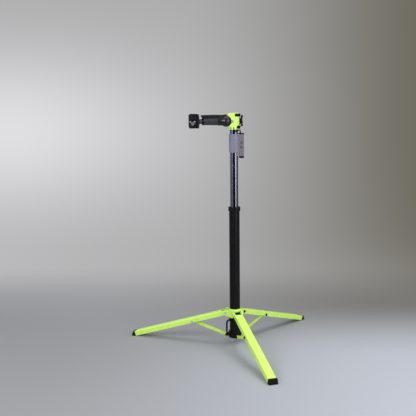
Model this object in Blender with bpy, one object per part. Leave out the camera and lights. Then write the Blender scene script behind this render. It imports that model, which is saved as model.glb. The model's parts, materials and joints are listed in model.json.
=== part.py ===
"""A folding repair stand for heavy bikes, with a mast that a motor lifts. Metres, +Z up, floor at z = 0."""

import math

import bmesh
import bpy
from mathutils import Matrix, Vector

# Clearances, edges, and how far a cutter passes a face or a joined shape reaches into its neighbour
GAP = 0.0003
RUN = 0.0005
FINE_EDGE = 0.0008
SMALL_EDGE = 0.001
EDGE = 0.0015
BROAD_EDGE = 0.003
PAST = 0.010
LAP = 0.001

# Tripod: where the three legs point, and the pivots of one leg's linkage
LEG_TURNS = {"left": 167.1, "front": 287.1, "right": 47.1}
COLUMN_FOOT = 0.0405
COLLAR_PIVOT_RISE = 0.0125
COLLAR_PIVOT_Z = COLUMN_FOOT + COLLAR_PIVOT_RISE
HUB_BOTTOM = 0.168
HUB_PIVOT_RISE = 0.031
HUB_PIVOT_Z = HUB_BOTTOM + HUB_PIVOT_RISE
PIVOT_REACH = 0.055

# Legs, struts, feet
LEG_WIDTH = 0.050
LEG_HEIGHT = 0.030
LEG_WALL = 0.003
LEG_LENGTH = 0.638
LEG_CORNER = 0.0045
LEG_CLEARANCE = 0.0013
LEG_MOUTH = 0.026
PIN_RADIUS = 0.004
PIN_HEAD_RADIUS = 0.008
PIN_HEAD_HEIGHT = 0.005
STRUT_PIVOT_DROP = 0.0067
STRUT_HEIGHT = 0.019
STRUT_THICKNESS = 0.008
STRUT_BOSS_RADIUS = 0.0085
COLLAR_BOSS_WIDTH = 0.011
FOOT_RIM = 0.001
FOOT_TOE = 0.0285
FOOT_LEAN = 0.006
FOOT_TOP = 0.0245
FOOT_PLUG = 0.024
LEG_DIAGONAL = math.hypot(LEG_LENGTH, LEG_HEIGHT / 2)
LEG_SLOPE = math.asin((HUB_PIVOT_Z - LEG_CLEARANCE) / LEG_DIAGONAL) - math.atan2(LEG_HEIGHT / 2, LEG_LENGTH)
STRUT_RISE = (HUB_PIVOT_Z - COLLAR_PIVOT_Z) / 2
STRUT_PIVOT_Z = COLLAR_PIVOT_Z + STRUT_RISE
STRUT_ALONG = (STRUT_RISE - STRUT_PIVOT_DROP * math.cos(LEG_SLOPE)) / math.sin(LEG_SLOPE)
STRUT_RUN = STRUT_ALONG * math.cos(LEG_SLOPE) - STRUT_PIVOT_DROP * math.sin(LEG_SLOPE)
STRUT_PIVOT_REACH = PIVOT_REACH + STRUT_RUN

# Column
TUBE_RADIUS = 0.0325
TUBE_WALL = 0.003
PLUG_FLANGE = 0.0035
PLUG_DEPTH = 0.012
TUBE_LENGTH = 0.818
PLUG_BOTTOM = COLUMN_FOOT
TUBE_BOTTOM = PLUG_BOTTOM + PLUG_FLANGE
TUBE_TOP = TUBE_BOTTOM + TUBE_LENGTH
COLLAR_RADIUS = 0.0395
COLLAR_HEIGHT = 0.0415
COLLAR_TOP = PLUG_BOTTOM + COLLAR_HEIGHT
COLLAR_EAR_WALL = 0.006
COLLAR_EAR_RADIUS = 0.0075
COLLAR_EAR_ROOT = 0.003
COLLAR_EAR_DROP = 0.012
COLLAR_PIN_HEAD = 0.0035
COLLAR_PIN_HEAD_RADIUS = 0.0065
HUB_RADIUS = 0.0390
HUB_HEIGHT = 0.058
HUB_TOP = HUB_BOTTOM + HUB_HEIGHT
HUB_EAR_WALL = 0.005
HUB_EAR_RADIUS = 0.018
HUB_EAR_DROP = 0.004
HUB_BORE = 0.0348
HUB_WINDOW_RISE = 0.0095
HUB_WINDOW_EDGE = 0.0015
STOP_RADIUS = 0.0370
STOP_HEIGHT = 0.016
HANDLE_TURN = 227.0
HANDLE_REACH = 0.0745
HANDLE_BAR_RADIUS = 0.0055
HANDLE_LOW = COLLAR_TOP - 0.012
HANDLE_BEND = 0.016
CROWN_RADIUS = 0.0372
CROWN_DROP = 0.020
CROWN_RISE = 0.007
GUIDE_HEIGHT = 0.060

# Mast
MAST_RADIUS = 0.025
MAST_WALL = 0.003
MAST_OVERLAP = 0.362
MAST_LENGTH = 0.8595
MAST_BOTTOM = TUBE_TOP - MAST_OVERLAP
MAST_TOP = MAST_BOTTOM + MAST_LENGTH
SLOT_WIDTH = 0.0145
FOOT_GUIDE_HEIGHT = 0.040
FOOT_GUIDE_FLOOR = 0.003
MAST_PLUG_HEIGHT = 0.0345

# Lift inside the column
MOTOR_RADIUS = 0.027
MOTOR_LENGTH = 0.117
MOTOR_TOP = PLUG_BOTTOM + PLUG_DEPTH + GAP + MOTOR_LENGTH
ACTUATOR_RADIUS = 0.015
ACTUATOR_WALL = 0.0035
ACTUATOR_ROOM = 0.082
ACTUATOR_TOP = TUBE_TOP - ACTUATOR_ROOM
ACTUATOR_FLOOR = 0.020
ROD_BOTTOM = MAST_BOTTOM

# Head, upwards from its lower edge
HEAD_GRIP = 0.0205
HEAD_BOTTOM = MAST_TOP - HEAD_GRIP
HEAD_HEIGHT = 0.100
HEAD_TOP = HEAD_BOTTOM + HEAD_HEIGHT
HEAD_SLEEVE_RADIUS = 0.0279
HEAD_DEPTH = 0.046
HEAD_LEFT = -0.0345
HEAD_RIGHT = 0.0325
HEAD_EDGE = 0.0025
HEAD_WAIST_Z = HEAD_BOTTOM + 0.013
HEAD_CORNER = 0.004
HEAD_FLARE = 0.012
HEAD_SHOULDER = 0.012
HEAD_LUG = 0.0122
HEAD_LUG_FRONT = -0.0340
HEAD_LUG_BACK = 0.0180
HEAD_SLIT_ROOM = 0.0020
HEAD_EAR_LEFT = 0.0120
HEAD_EAR_BACK = 0.0100
HEAD_BOLT_Y = -0.0293
HEAD_GROOVE = 0.0060
HEAD_BOLT_Z = HEAD_BOTTOM + 0.0075
HEAD_GROOVE_TOP = HEAD_BOLT_Z + 0.0065
HEAD_LUG_TOP = HEAD_BOLT_Z + 0.0115
HEAD_BOLT_RADIUS = 0.0034
HEAD_BOLT_HEAD_RADIUS = 0.0054
HEAD_BOLT_HEAD = 0.0038
ARM_Z = HEAD_BOTTOM + 0.051
SPINDLE_RADIUS = 0.0070

# Drive housing on the mast, downwards from its top
HOUSING_ROOM = 0.026
HOUSING_TOP = HEAD_BOTTOM - HOUSING_ROOM
HOUSING_SLEEVE_RADIUS = 0.0305
HOUSING_HEIGHT = 0.113
HOUSING_BOTTOM = HOUSING_TOP - HOUSING_HEIGHT
HOUSING_BOX = ((0.010, 0.061), (-0.020, 0.026))
HOUSING_BOX_DROP = 0.020
HOUSING_BOX_BOTTOM = HOUSING_BOTTOM - HOUSING_BOX_DROP
HOUSING_CORNER = 0.007
HOUSING_CAP = 0.006
HOUSING_LOW_CAP = 0.012
TOP_CAP_ROOM = 0.003
TOP_CAP_LIP = 0.001
BUTTON_RADIUS = 0.006
BUTTON_TRAVEL = 0.0015
BUTTON_X = 0.046
BUTTON_DROPS = {"up_button": 0.051, "down_button": 0.079}
CABLE_RADIUS = 0.0035
CABLE_ROUTE = [(0.0015, -0.0200, 0.0065), (0.0030, -0.0290, 0.0085), (0.0100, -0.0330, 0.0135),
               (0.0190, -0.0335, 0.0205), (0.0275, -0.0300, 0.0235), (0.0345, -0.0215, 0.0235),
               (0.0380, -0.0125, 0.0210), (0.0388, -0.0080, 0.0165), (0.0388, -0.0075, 0.0114)]
GLAND_RADIUS = 0.0050
LOW_CAP_LEFT = 0.0300
BUTTON_DEPTH = 0.006
BUTTON_PROUD = 0.0025

# Arm, leftwards from the middle of its round knuckle
KNUCKLE_X = -0.047
KNUCKLE_RADIUS = 0.0335
KNUCKLE_CUP = 0.0350
KNUCKLE_LEFT = KNUCKLE_X - 0.049
KNUCKLE_NECK_RADIUS = 0.0255
KNUCKLE_FACE_RADIUS = 0.0100
CAVITY_RADIUS = 0.0130
CAVITY_RIGHT = KNUCKLE_X + 0.012
SOCKET_RIGHT = KNUCKLE_X - 0.0275
WASHER = 0.0010
ARM_LENGTH = 0.1055
ARM_LEFT = SOCKET_RIGHT - ARM_LENGTH
ARM_RADIUS = 0.0235
ARM_RADIUS_LEFT = 0.0220
ARM_BORE = 0.0150
BLACK_RING_WIDTH = 0.0080
BLACK_RING = (ARM_LEFT - RUN - BLACK_RING_WIDTH, ARM_LEFT - RUN)
RED_RING_WIDTH = 0.0045
RED_RING = (BLACK_RING[0] - RUN - RED_RING_WIDTH, BLACK_RING[0] - RUN)
RING_RADIUS = 0.0235
RED_RING_RADIUS = 0.0205
RING_GRIPS = 24
NECK_LENGTH = 0.0180
JAW_RIGHT = RED_RING[0] - NECK_LENGTH
NECK_LEFT = JAW_RIGHT + GAP
NECK_RADIUS = 0.0150
NECK_CORE_RADIUS = 0.0120
NECK_PLUG = 0.015
PULL_ROD_RADIUS = 0.0040
PULL_ROD_LEFT = JAW_RIGHT - 0.0010
PULL_ROD_TRAVEL = 0.0030
CROSS_HEAD = (0.0075, 0.0050, 0.0070)
ROD_GUIDE = (ARM_LEFT + 0.060, ARM_LEFT + 0.068)
LEVER_PIVOT = (KNUCKLE_X - 0.005, ARM_Z + 0.0245)
LEVER_ROOT_RADIUS = 0.0175
LEVER_ROOM = 0.0015
LEVER_LEFT = BLACK_RING[0] - 0.0110
LEVER_WIDTH = 0.024
LEVER_ROOT_WIDTH = 0.018
LEVER_ARCH = 0.0015
LEVER_TIP = 0.004
LEVER_GRIP_ROOM = 0.010
LEVER_PIN_HALF = 0.0180
LEVER_THICKNESS = 0.013
LEVER_PIN_RADIUS = 0.003

# Clamp, from its right face and the middle of the post that it holds
POST_X = JAW_RIGHT - 0.0260
POST_RADIUS = 0.016
PAD_THICKNESS = 0.003
PAD_INSET = 0.003
JAW_LEFT = POST_X - 0.035
JAW_LIP = 0.0105
JAW_DEPTH = 0.0360
JAW_DROP = 0.041
JAW_LOW = ARM_Z - JAW_DROP
JAW_HEIGHT = 0.087
JAW_HIGH = JAW_LOW + JAW_HEIGHT
JAW_EDGE = 0.002
JAW_CORNER = 0.007
JAW_SHOULDER = 0.012
JAW_TAPER = 0.008
JAW_PIVOT = (JAW_RIGHT - 0.005, -0.0225)
JAW_LUG_RADIUS = 0.0080
JAW_LUG_HEIGHT = 0.012
JAW_PIN_RADIUS = 0.0035
JAW_PIN_HEAD_RADIUS = 0.0055
JAW_PIN_HEAD = 0.0022
DISC_RADIUS = 0.0105
DISC_HEIGHT = 0.003
DISC_SPOT = (POST_X - 0.0100, ARM_Z - 0.014)
SCREW_SPOTS = {"jaw_screw_left": (POST_X - 0.0230, ARM_Z - 0.002),
               "jaw_screw_right": (POST_X + 0.0025, ARM_Z - 0.002)}
SCREW_RADIUS = 0.0046
SCREW_SHANK = 0.0022
SCREW_HEAD = 0.0035
SCREW_END = -0.0280

# Hand knob on the spindle, rightwards from its inner face; barrel and wing nut on the head
KNOB_LEFT = HEAD_RIGHT + 0.0012
KNOB_FLANGE_RADIUS = 0.0230
KNOB_FLANGE = 0.0045
KNOB_HUB_RADIUS = 0.0125
KNOB_HUB_RIGHT = KNOB_LEFT + 0.0188
KNOB_ARM_REACH = 0.0310
KNOB_ARM_X = KNOB_LEFT + 0.0153
KNOB_ARM_FOOT = KNOB_LEFT + 0.0093
KNOB_TURN = math.radians(18)
KNOB_BALL_RADIUS = 0.0075
KNOB_ARM_ROOT_RADIUS = 0.0072
KNOB_ARM_NECK_RADIUS = 0.0055
SPINDLE_RIGHT = KNOB_LEFT + 0.0163
BARREL_RADIUS = 0.0090
BARREL_SPAN = (0.0085, 0.0405)
BARREL_SPOT = (-0.0225, HEAD_TOP - 0.0125)
NUT_SPOT = (0.0298, HEAD_BOTTOM + 0.0160)
NUT_RADIUS = 0.0100
NUT_SPAN = (-0.0295, -0.0198)
NUT_TIP = 0.0140
NUT_TIP_RISE = 0.003
NUT_WING_ROOT = (-0.006, 0.008)
NUT_WING_TIP_HALF = 0.0015
NUT_WING_INSET = 0.002
FRONT_SCREW_SPOT = (-0.0065, ARM_Z)
FRONT_SCREW_RADIUS = 0.0075
FRONT_SCREW_SEAT = -0.0245
FRONT_SCREW_SHANK = 0.0025
FRONT_SCREW_HEAD = 0.003
FRONT_SCREW_END = -0.0090

# Finishes: colour, roughness, metallic
FINISHES = {
    "lime_paint": ((0.66, 0.95, 0.13), 0.38, 0.0),
    "black_metal": ((0.012, 0.012, 0.013), 0.30, 0.0),
    "black_plastic": ((0.02, 0.02, 0.022), 0.50, 0.0),
    "mast_aluminium": ((0.24, 0.25, 0.33), 0.35, 0.8),
    "housing_gray": ((0.28, 0.27, 0.31), 0.45, 0.2),
    "bright_steel": ((0.75, 0.75, 0.77), 0.22, 1.0),
    "rubber": ((0.02, 0.02, 0.02), 0.80, 0.0),
    "red_anodised": ((0.55, 0.02, 0.06), 0.35, 0.6),
    "white_nylon": ((0.75, 0.75, 0.72), 0.50, 0.0),
}

SMOOTH_ANGLE = math.radians(35)
ROUND = 28
HIDDEN_ROUND = 20
SMALL_ROUND = 12
PIN_ROUND = 10
CUP_ROUND = 40
FULL_TURN = math.tau


def finish(name):
    """The Principled material of that name, made once."""
    made = bpy.data.materials.get(name)
    if made:
        return made
    colour, rough, metal = FINISHES[name]
    made = bpy.data.materials.new(name)
    made.use_nodes = True
    shader = made.node_tree.nodes["Principled BSDF"]
    shader.inputs["Base Color"].default_value = (*colour, 1.0)
    shader.inputs["Roughness"].default_value = rough
    shader.inputs["Metallic"].default_value = metal
    return made


def put(name, shape, material, parent, at=(0, 0, 0), turn=(0, 0, 0)):
    """One named object from a bmesh, under its parent."""
    bmesh.ops.recalc_face_normals(shape, faces=shape.faces)
    mesh = bpy.data.meshes.new(name)
    shape.to_mesh(mesh)
    shape.free()
    mesh.materials.append(finish(material))
    mesh.shade_smooth()
    mesh.set_sharp_from_angle(angle=SMOOTH_ANGLE)
    piece = bpy.data.objects.new(name, mesh)
    bpy.context.collection.objects.link(piece)
    piece.parent = parent
    piece.location = at
    piece.rotation_euler = turn
    return piece


def empty(name, parent=None, at=(0, 0, 0), turn=(0, 0, 0)):
    """A joint's or a group's frame."""
    frame = bpy.data.objects.new(name, None)
    bpy.context.collection.objects.link(frame)
    frame.parent = parent
    frame.location = at
    frame.rotation_euler = turn
    return frame


def combine(piece, shape, operation):
    """Joins a shape to a piece, or cuts it away, in the piece's own frame."""
    tool = put(f"{piece.name}_{operation.lower()}_{len(piece.modifiers)}", shape, "rubber", piece)
    tool.hide_render = True
    tool.display_type = "WIRE"
    change = piece.modifiers.new(operation.title(), "BOOLEAN")
    change.operation = operation
    change.solver = "EXACT"
    change.object = tool
    return piece


def cut(piece, shape):
    return combine(piece, shape, "DIFFERENCE")


def join(piece, shape):
    return combine(piece, shape, "UNION")


def along(shape, axis, at=(0, 0, 0)):
    """Lays a shape made along Z along another axis, then moves it."""
    turns = {"X": Matrix.Rotation(math.pi / 2, 4, "Y"), "Y": Matrix.Rotation(-math.pi / 2, 4, "X")}
    if axis in turns:
        bmesh.ops.transform(shape, matrix=turns[axis], verts=shape.verts)
    bmesh.ops.translate(shape, vec=at, verts=shape.verts)
    return shape


def turned(profile, steps=ROUND):
    """A body of revolution about Z from a closed profile of (radius, height)."""
    shape = bmesh.new()
    points = [shape.verts.new((radius, 0, height)) for radius, height in profile]
    edges = [shape.edges.new((a, b)) for a, b in zip(points, points[1:] + points[:1])
             if max(abs(a.co.x), abs(b.co.x)) > 1e-7]
    bmesh.ops.spin(shape, geom=points + edges, angle=FULL_TURN, steps=steps,
                   axis=(0, 0, 1), cent=(0, 0, 0), use_merge=True)
    bmesh.ops.remove_doubles(shape, verts=shape.verts, dist=1e-6)
    bmesh.ops.dissolve_degenerate(shape, edges=shape.edges, dist=1e-7)
    return shape


def drum(radius, low, high, steps=SMALL_ROUND, edge=0.0):
    """A solid cylinder along Z, its rims chamfered by edge."""
    if not edge:
        return turned([(0, low), (radius, low), (radius, high), (0, high)], steps)
    return turned([(0, low), (radius - edge, low), (radius, low + edge),
                   (radius, high - edge), (radius - edge, high), (0, high)], steps)


def ring(inner, outer, low, high, steps=ROUND, edge=0.0):
    """A pipe along Z, its outer rims chamfered by edge."""
    if not edge:
        return turned([(inner, low), (outer, low), (outer, high), (inner, high)], steps)
    return turned([(inner, low), (outer - edge, low), (outer, low + edge),
                   (outer, high - edge), (outer - edge, high), (inner, high)], steps)


def arc(centre, radius, start, end, steps):
    """Points on an arc, from one angle to another in degrees."""
    angles = [math.radians(start + (end - start) * i / steps) for i in range(steps + 1)]
    return [(centre[0] + radius * math.cos(a), centre[1] + radius * math.sin(a)) for a in angles]


def loop_edges(shape, outline):
    points = [shape.verts.new((x, y, 0)) for x, y in outline]
    return [shape.edges.new(pair) for pair in zip(points, points[1:] + points[:1])]


def prism(outline, low, high, holes=()):
    """An outline in XY, with its holes, raised from low to high along Z."""
    shape = bmesh.new()
    edges = loop_edges(shape, outline)
    for hole in holes:
        edges += loop_edges(shape, hole)
    bmesh.ops.triangle_fill(shape, use_beauty=True, use_dissolve=False, edges=edges)
    made = bmesh.ops.extrude_face_region(shape, geom=shape.faces[:])
    tops = [v for v in made["geom"] if isinstance(v, bmesh.types.BMVert)]
    bmesh.ops.translate(shape, vec=(0, 0, high - low), verts=tops)
    bmesh.ops.translate(shape, vec=(0, 0, low), verts=shape.verts)
    return shape


def block(x, y, z, edge=0.0, segments=2):
    """A box between three pairs of limits, with rounded edges."""
    shape = bmesh.new()
    bmesh.ops.create_cube(shape, size=1.0)
    size = [high - low for low, high in (x, y, z)]
    middle = [(low + high) / 2 for low, high in (x, y, z)]
    bmesh.ops.scale(shape, vec=size, verts=shape.verts)
    bmesh.ops.translate(shape, vec=middle, verts=shape.verts)
    if edge:
        bmesh.ops.bevel(shape, geom=shape.edges[:], offset=edge, offset_type="OFFSET",
                        segments=segments, profile=0.5, affect="EDGES", material=-1)
    return shape


def circle(centre, radius, steps=SMALL_ROUND):
    return arc(centre, radius, 0, 360 * (steps - 1) / steps, steps - 1)


def gathered(*shapes):
    """Several bmeshes in one, kept apart."""
    whole = bmesh.new()
    for shape in shapes:
        held = bpy.data.meshes.new("held")
        shape.to_mesh(held)
        shape.free()
        whole.from_mesh(held)
        bpy.data.meshes.remove(held)
    return whole


def lengthwise(outline, low, high):
    """An outline in YZ raised along X."""
    shape = prism(outline, low, high)
    cycle = Matrix(((0, 0, 1, 0), (1, 0, 0, 0), (0, 1, 0, 0), (0, 0, 0, 1)))
    bmesh.ops.transform(shape, matrix=cycle, verts=shape.verts)
    return shape


def across(outline, low, high, holes=()):
    """An outline in XZ raised along Y."""
    shape = prism(outline, -high, -low, holes)
    bmesh.ops.rotate(shape, cent=(0, 0, 0), matrix=Matrix.Rotation(math.pi / 2, 3, "X"), verts=shape.verts)
    return shape


def softened(shape, width, segments=2, least=40):
    """Rounds the edges that turn by more than a number of degrees."""
    sharp = [e for e in shape.edges if e.calc_face_angle(0) > math.radians(least)]
    bmesh.ops.bevel(shape, geom=sharp, offset=width, offset_type="OFFSET",
                    segments=segments, profile=0.5, affect="EDGES", material=-1)
    return shape


def swung(shape, turn):
    """Turns a shape about the column's axis by a number of degrees."""
    matrix = Matrix.Rotation(math.radians(turn), 3, "Z")
    bmesh.ops.rotate(shape, cent=(0, 0, 0), matrix=matrix, verts=shape.verts)
    return shape


def in_leg(reach, height):
    """A point of the leg's upright plane, seen from the leg's own frame."""
    out, up = reach - PIVOT_REACH, height - HUB_PIVOT_Z
    return (out * math.cos(LEG_SLOPE) - up * math.sin(LEG_SLOPE),
            out * math.sin(LEG_SLOPE) + up * math.cos(LEG_SLOPE))


STRUT_SPOT = in_leg(STRUT_PIVOT_REACH, STRUT_PIVOT_Z)
STRUT_LENGTH = math.hypot(STRUT_RUN, STRUT_RISE)
STRUT_SLOPE = math.atan2(STRUT_RISE, STRUT_RUN)
FOOT_START = LEG_LENGTH + GAP
FOOT_HEEL = (HUB_PIVOT_Z - FOOT_START * math.sin(LEG_SLOPE)) / math.cos(LEG_SLOPE)
FOOT_REACH = PIVOT_REACH + FOOT_START * math.cos(LEG_SLOPE) - FOOT_HEEL * math.sin(LEG_SLOPE) + FOOT_TOE
PIN_HOLE = PIN_RADIUS + GAP
EAR_INNER = LEG_WIDTH / 2 + RUN
EAR_OUTER = EAR_INNER + HUB_EAR_WALL


def channel_outline():
    """The leg's section: a channel open below, its upper corners rounded."""
    half, high, wall = LEG_WIDTH / 2, LEG_HEIGHT / 2, LEG_WALL
    right = arc((half - LEG_CORNER, high - LEG_CORNER), LEG_CORNER, 0, 90, 3)
    left = arc((LEG_CORNER - half, high - LEG_CORNER), LEG_CORNER, 90, 180, 3)
    inner, roof = half - wall, high - wall
    inside = [(-inner, -high), (-inner, roof), (inner, roof), (inner, -high)]
    return [(half, -high)] + right + left + [(-half, -high)] + inside


def leg_shape(piece_name, parent):
    round_end = LEG_HEIGHT / 2
    leg = put(piece_name, lengthwise(channel_outline(), -round_end, LEG_LENGTH), "lime_paint", parent,
              (PIVOT_REACH, 0, HUB_PIVOT_Z), (0, LEG_SLOPE, 0))
    outside = 2 * round_end
    nose = arc((0, 0), round_end, 100, 260, 8)
    far = [(nose[-1][0], -outside), (-outside, -outside), (-outside, outside), (nose[0][0], outside)]
    cut(leg, across(nose + far, -LEG_WIDTH, LEG_WIDTH))
    mouth = LEG_WIDTH / 2 - LEG_CORNER
    cut(leg, block((-outside, LEG_MOUTH), (-mouth, mouth), (0, outside)))
    pins = [along(drum(PIN_HOLE, -LEG_WIDTH, LEG_WIDTH), "Y", (x, 0, z)) for x, z in ((0, 0), STRUT_SPOT)]
    return cut(leg, gathered(*pins))


def foot_shape(name, parent):
    """A rubber plug in the leg's end, wedge-shaped, flat on the floor."""
    top, side = LEG_HEIGHT / 2 + FOOT_RIM, LEG_WIDTH / 2 + FOOT_RIM
    crest = in_leg(FOOT_REACH - FOOT_LEAN, FOOT_TOP)
    outline = [(FOOT_START, top), (FOOT_START, -FOOT_HEEL), in_leg(FOOT_REACH, 0), crest,
               (crest[0] - BROAD_EDGE, top)]
    foot = put(name, softened(across(outline, -side, side), EDGE), "rubber", parent,
               (PIVOT_REACH, 0, HUB_PIVOT_Z), (0, LEG_SLOPE, 0))
    inner = LEG_WIDTH / 2 - LEG_WALL - GAP
    high = LEG_HEIGHT / 2 - LEG_WALL - GAP
    return join(foot, block((LEG_LENGTH - FOOT_PLUG, FOOT_START + LAP), (-inner, inner), (-high, high)))


def strut_shape(name, parent):
    half = STRUT_HEIGHT / 2
    ends = arc((0, 0), half, 90, 270, 6) + arc((STRUT_LENGTH, 0), half, -90, 90, 6)
    strut = put(name, softened(across(ends, -STRUT_THICKNESS / 2, STRUT_THICKNESS / 2), SMALL_EDGE, 1),
                "lime_paint", parent, (PIVOT_REACH, 0, COLLAR_PIVOT_Z), (0, -STRUT_SLOPE, 0))
    boss_half = LEG_WIDTH / 2 - LEG_WALL - RUN
    join(strut, gathered(
        along(drum(half + FINE_EDGE, -COLLAR_BOSS_WIDTH / 2, COLLAR_BOSS_WIDTH / 2), "Y"),
        along(drum(STRUT_BOSS_RADIUS, -boss_half, boss_half), "Y", (STRUT_LENGTH, 0, 0))))
    return cut(strut, gathered(*[along(drum(PIN_HOLE, -LEG_WIDTH, LEG_WIDTH), "Y", (x, 0, 0))
                                 for x in (0, STRUT_LENGTH)]))


def pin_shape(half, head=PIN_HEAD_HEIGHT, wide=PIN_HEAD_RADIUS, play=GAP):
    """A bolt along Y with its head and nut outside half of the clamped width each way."""
    face = half + play
    top, edge = wide - EDGE, face + head
    return along(turned([(0, -edge), (top, -edge), (wide, EDGE - edge), (wide, -face),
                         (PIN_RADIUS, -face), (PIN_RADIUS, face), (wide, face),
                         (wide, edge - EDGE), (top, edge), (0, edge)], PIN_ROUND), "Y")


def collar(parent):
    """The black casting round the column's foot, with a clevis for each strut."""
    piece = put("lower_collar", ring(TUBE_RADIUS + GAP, COLLAR_RADIUS, PLUG_BOTTOM, COLLAR_TOP, edge=EDGE),
                "black_plastic", parent)
    ear = COLLAR_EAR_RADIUS
    inner, outer = COLLAR_BOSS_WIDTH / 2 + RUN, COLLAR_BOSS_WIDTH / 2 + RUN + COLLAR_EAR_WALL
    root = COLLAR_RADIUS - COLLAR_EAR_ROOT
    outline = ([(root, COLLAR_PIVOT_Z - ear)] + arc((PIVOT_REACH, COLLAR_PIVOT_Z), ear, -90, 90, 6)
               + [(root, COLLAR_TOP - COLLAR_EAR_DROP)])
    for turn in LEG_TURNS.values():
        ears = gathered(across(outline, inner, outer), across(outline, -outer, -inner))
        pin = pin_shape(outer, COLLAR_PIN_HEAD, COLLAR_PIN_HEAD_RADIUS, -LAP / 2)
        pin = along(pin, "Z", (PIVOT_REACH, 0, COLLAR_PIVOT_Z))
        join(join(piece, swung(ears, turn)), swung(pin, turn))
    return piece


def hub(parent):
    """The lime hub that slides on the column, with a pair of ears for each leg."""
    sleeve = ring(HUB_BORE - LAP, HUB_RADIUS, HUB_BOTTOM, HUB_TOP, edge=BROAD_EDGE)
    piece = put("hub", sleeve, "lime_paint", parent)
    root = math.sqrt(HUB_BORE ** 2 - EAR_OUTER ** 2) - PAST / 2
    outline = ([(root, HUB_BOTTOM + SMALL_EDGE)] + arc((PIVOT_REACH, HUB_PIVOT_Z), HUB_EAR_RADIUS, -55, 90, 8)
               + [(root, HUB_TOP - HUB_EAR_DROP)])
    hole = circle((PIVOT_REACH, HUB_PIVOT_Z), PIN_HOLE)
    for turn in LEG_TURNS.values():
        one = across(outline, EAR_INNER, EAR_OUTER, [hole])
        other = across(outline, -EAR_OUTER, -EAR_INNER, [hole])
        join(piece, swung(gathered(one, other), turn))
    half = EAR_INNER - HUB_WINDOW_EDGE
    for turn in LEG_TURNS.values():
        window = block((HUB_BORE / 2, HUB_RADIUS + PAST / 2), (-half, half),
                       (HUB_BOTTOM - PAST, HUB_PIVOT_Z + HUB_WINDOW_RISE))
        cut(piece, swung(window, turn))
    return cut(piece, drum(HUB_BORE, HUB_BOTTOM - PAST, HUB_TOP + PAST, ROUND))


def tripod(column):
    hub_frame = empty("hub_frame", column)
    hub(hub_frame)
    put("hub_bush", ring(TUBE_RADIUS + RUN, HUB_BORE - GAP, HUB_BOTTOM, HUB_TOP - SMALL_EDGE),
        "black_plastic", hub_frame)
    for side, turn in LEG_TURNS.items():
        plane = empty(f"{side}_plane", column, turn=(0, 0, math.radians(turn)))
        leg_shape(f"leg_{side}", plane)
        foot_shape(f"foot_{side}", plane)
        strut_shape(f"strut_{side}", plane)
        metal = "bright_steel" if side == "left" else "black_metal"
        put(f"hub_pin_{side}", pin_shape(EAR_OUTER), metal, plane, (PIVOT_REACH, 0, HUB_PIVOT_Z))
        put(f"strut_pin_{side}", pin_shape(LEG_WIDTH / 2), metal, plane,
            (STRUT_PIVOT_REACH, 0, STRUT_PIVOT_Z))


def handle(column):
    """The loop handle beside the column, a bent bar between the stop ring and the collar."""
    high = HUB_BOTTOM - GAP - STOP_HEIGHT / 2
    bend = HANDLE_BEND
    path = [(STOP_RADIUS + GAP, high)] + arc((HANDLE_REACH - bend, high - bend), bend, 90, 0, 6)
    path += arc((HANDLE_REACH - bend, HANDLE_LOW + bend), bend, 0, -90, 6)
    path.append((COLLAR_RADIUS + GAP, HANDLE_LOW))
    curve = bpy.data.curves.new("carry_handle", "CURVE")
    curve.dimensions = "3D"
    curve.bevel_depth = HANDLE_BAR_RADIUS
    curve.bevel_resolution = 3
    curve.use_fill_caps = True
    line = curve.splines.new("POLY")
    line.points.add(len(path) - 1)
    for point, (reach, height) in zip(line.points, path):
        point.co = (reach, 0, height, 1)
    curve.materials.append(finish("black_plastic"))
    bar = bpy.data.objects.new("carry_handle", curve)
    bpy.context.collection.objects.link(bar)
    bar.parent = column
    bar.rotation_euler = (0, 0, math.radians(HANDLE_TURN))
    return bar


def outer_column(column):
    bore = TUBE_RADIUS - TUBE_WALL
    put("outer_tube", ring(bore, TUBE_RADIUS, TUBE_BOTTOM, TUBE_TOP), "black_metal", column)
    flange = TUBE_RADIUS - GAP
    seat, plug_top = TUBE_BOTTOM - GAP, PLUG_BOTTOM + PLUG_DEPTH
    put("base_plug", turned([(0, PLUG_BOTTOM), (flange, PLUG_BOTTOM), (flange, seat), (bore - GAP, seat),
                             (bore - GAP, plug_top), (0, plug_top)], HIDDEN_ROUND), "black_plastic", column)
    put("stop_ring", ring(TUBE_RADIUS + GAP, STOP_RADIUS, HUB_BOTTOM - GAP - STOP_HEIGHT, HUB_BOTTOM - GAP,
                          edge=SMALL_EDGE), "black_plastic", column)
    guide_top = TUBE_TOP - GAP
    guide = put("upper_guide", ring(MAST_RADIUS + GAP, bore - GAP, guide_top - GUIDE_HEIGHT, guide_top),
                "white_nylon", column)
    key = SLOT_WIDTH / 2 - RUN
    key_y = (-bore + LAP, -MAST_RADIUS + MAST_WALL)
    join(guide, block((-key, key), key_y, (guide_top - GUIDE_HEIGHT, guide_top)))
    lip = TUBE_TOP + GAP
    crown_inner = MAST_RADIUS + RUN
    outside = TUBE_RADIUS + GAP
    top = TUBE_TOP + CROWN_RISE
    put("tube_crown", turned([(outside, TUBE_TOP - CROWN_DROP), (CROWN_RADIUS, TUBE_TOP - CROWN_DROP),
                              (CROWN_RADIUS, top - BROAD_EDGE), (CROWN_RADIUS - BROAD_EDGE, top),
                              (crown_inner, top), (crown_inner, lip), (outside, lip)]),
        "black_plastic", column)
    put("lift_motor", drum(MOTOR_RADIUS, PLUG_BOTTOM + PLUG_DEPTH + GAP, MOTOR_TOP, HIDDEN_ROUND, EDGE),
        "housing_gray", column)
    low = MOTOR_TOP + GAP
    put("actuator_tube", turned([(0, low), (ACTUATOR_RADIUS, low), (ACTUATOR_RADIUS, ACTUATOR_TOP),
                                 (ACTUATOR_RADIUS - ACTUATOR_WALL, ACTUATOR_TOP),
                                 (ACTUATOR_RADIUS - ACTUATOR_WALL, low + ACTUATOR_FLOOR),
                                 (0, low + ACTUATOR_FLOOR)], HIDDEN_ROUND),
        "housing_gray", column)


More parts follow.
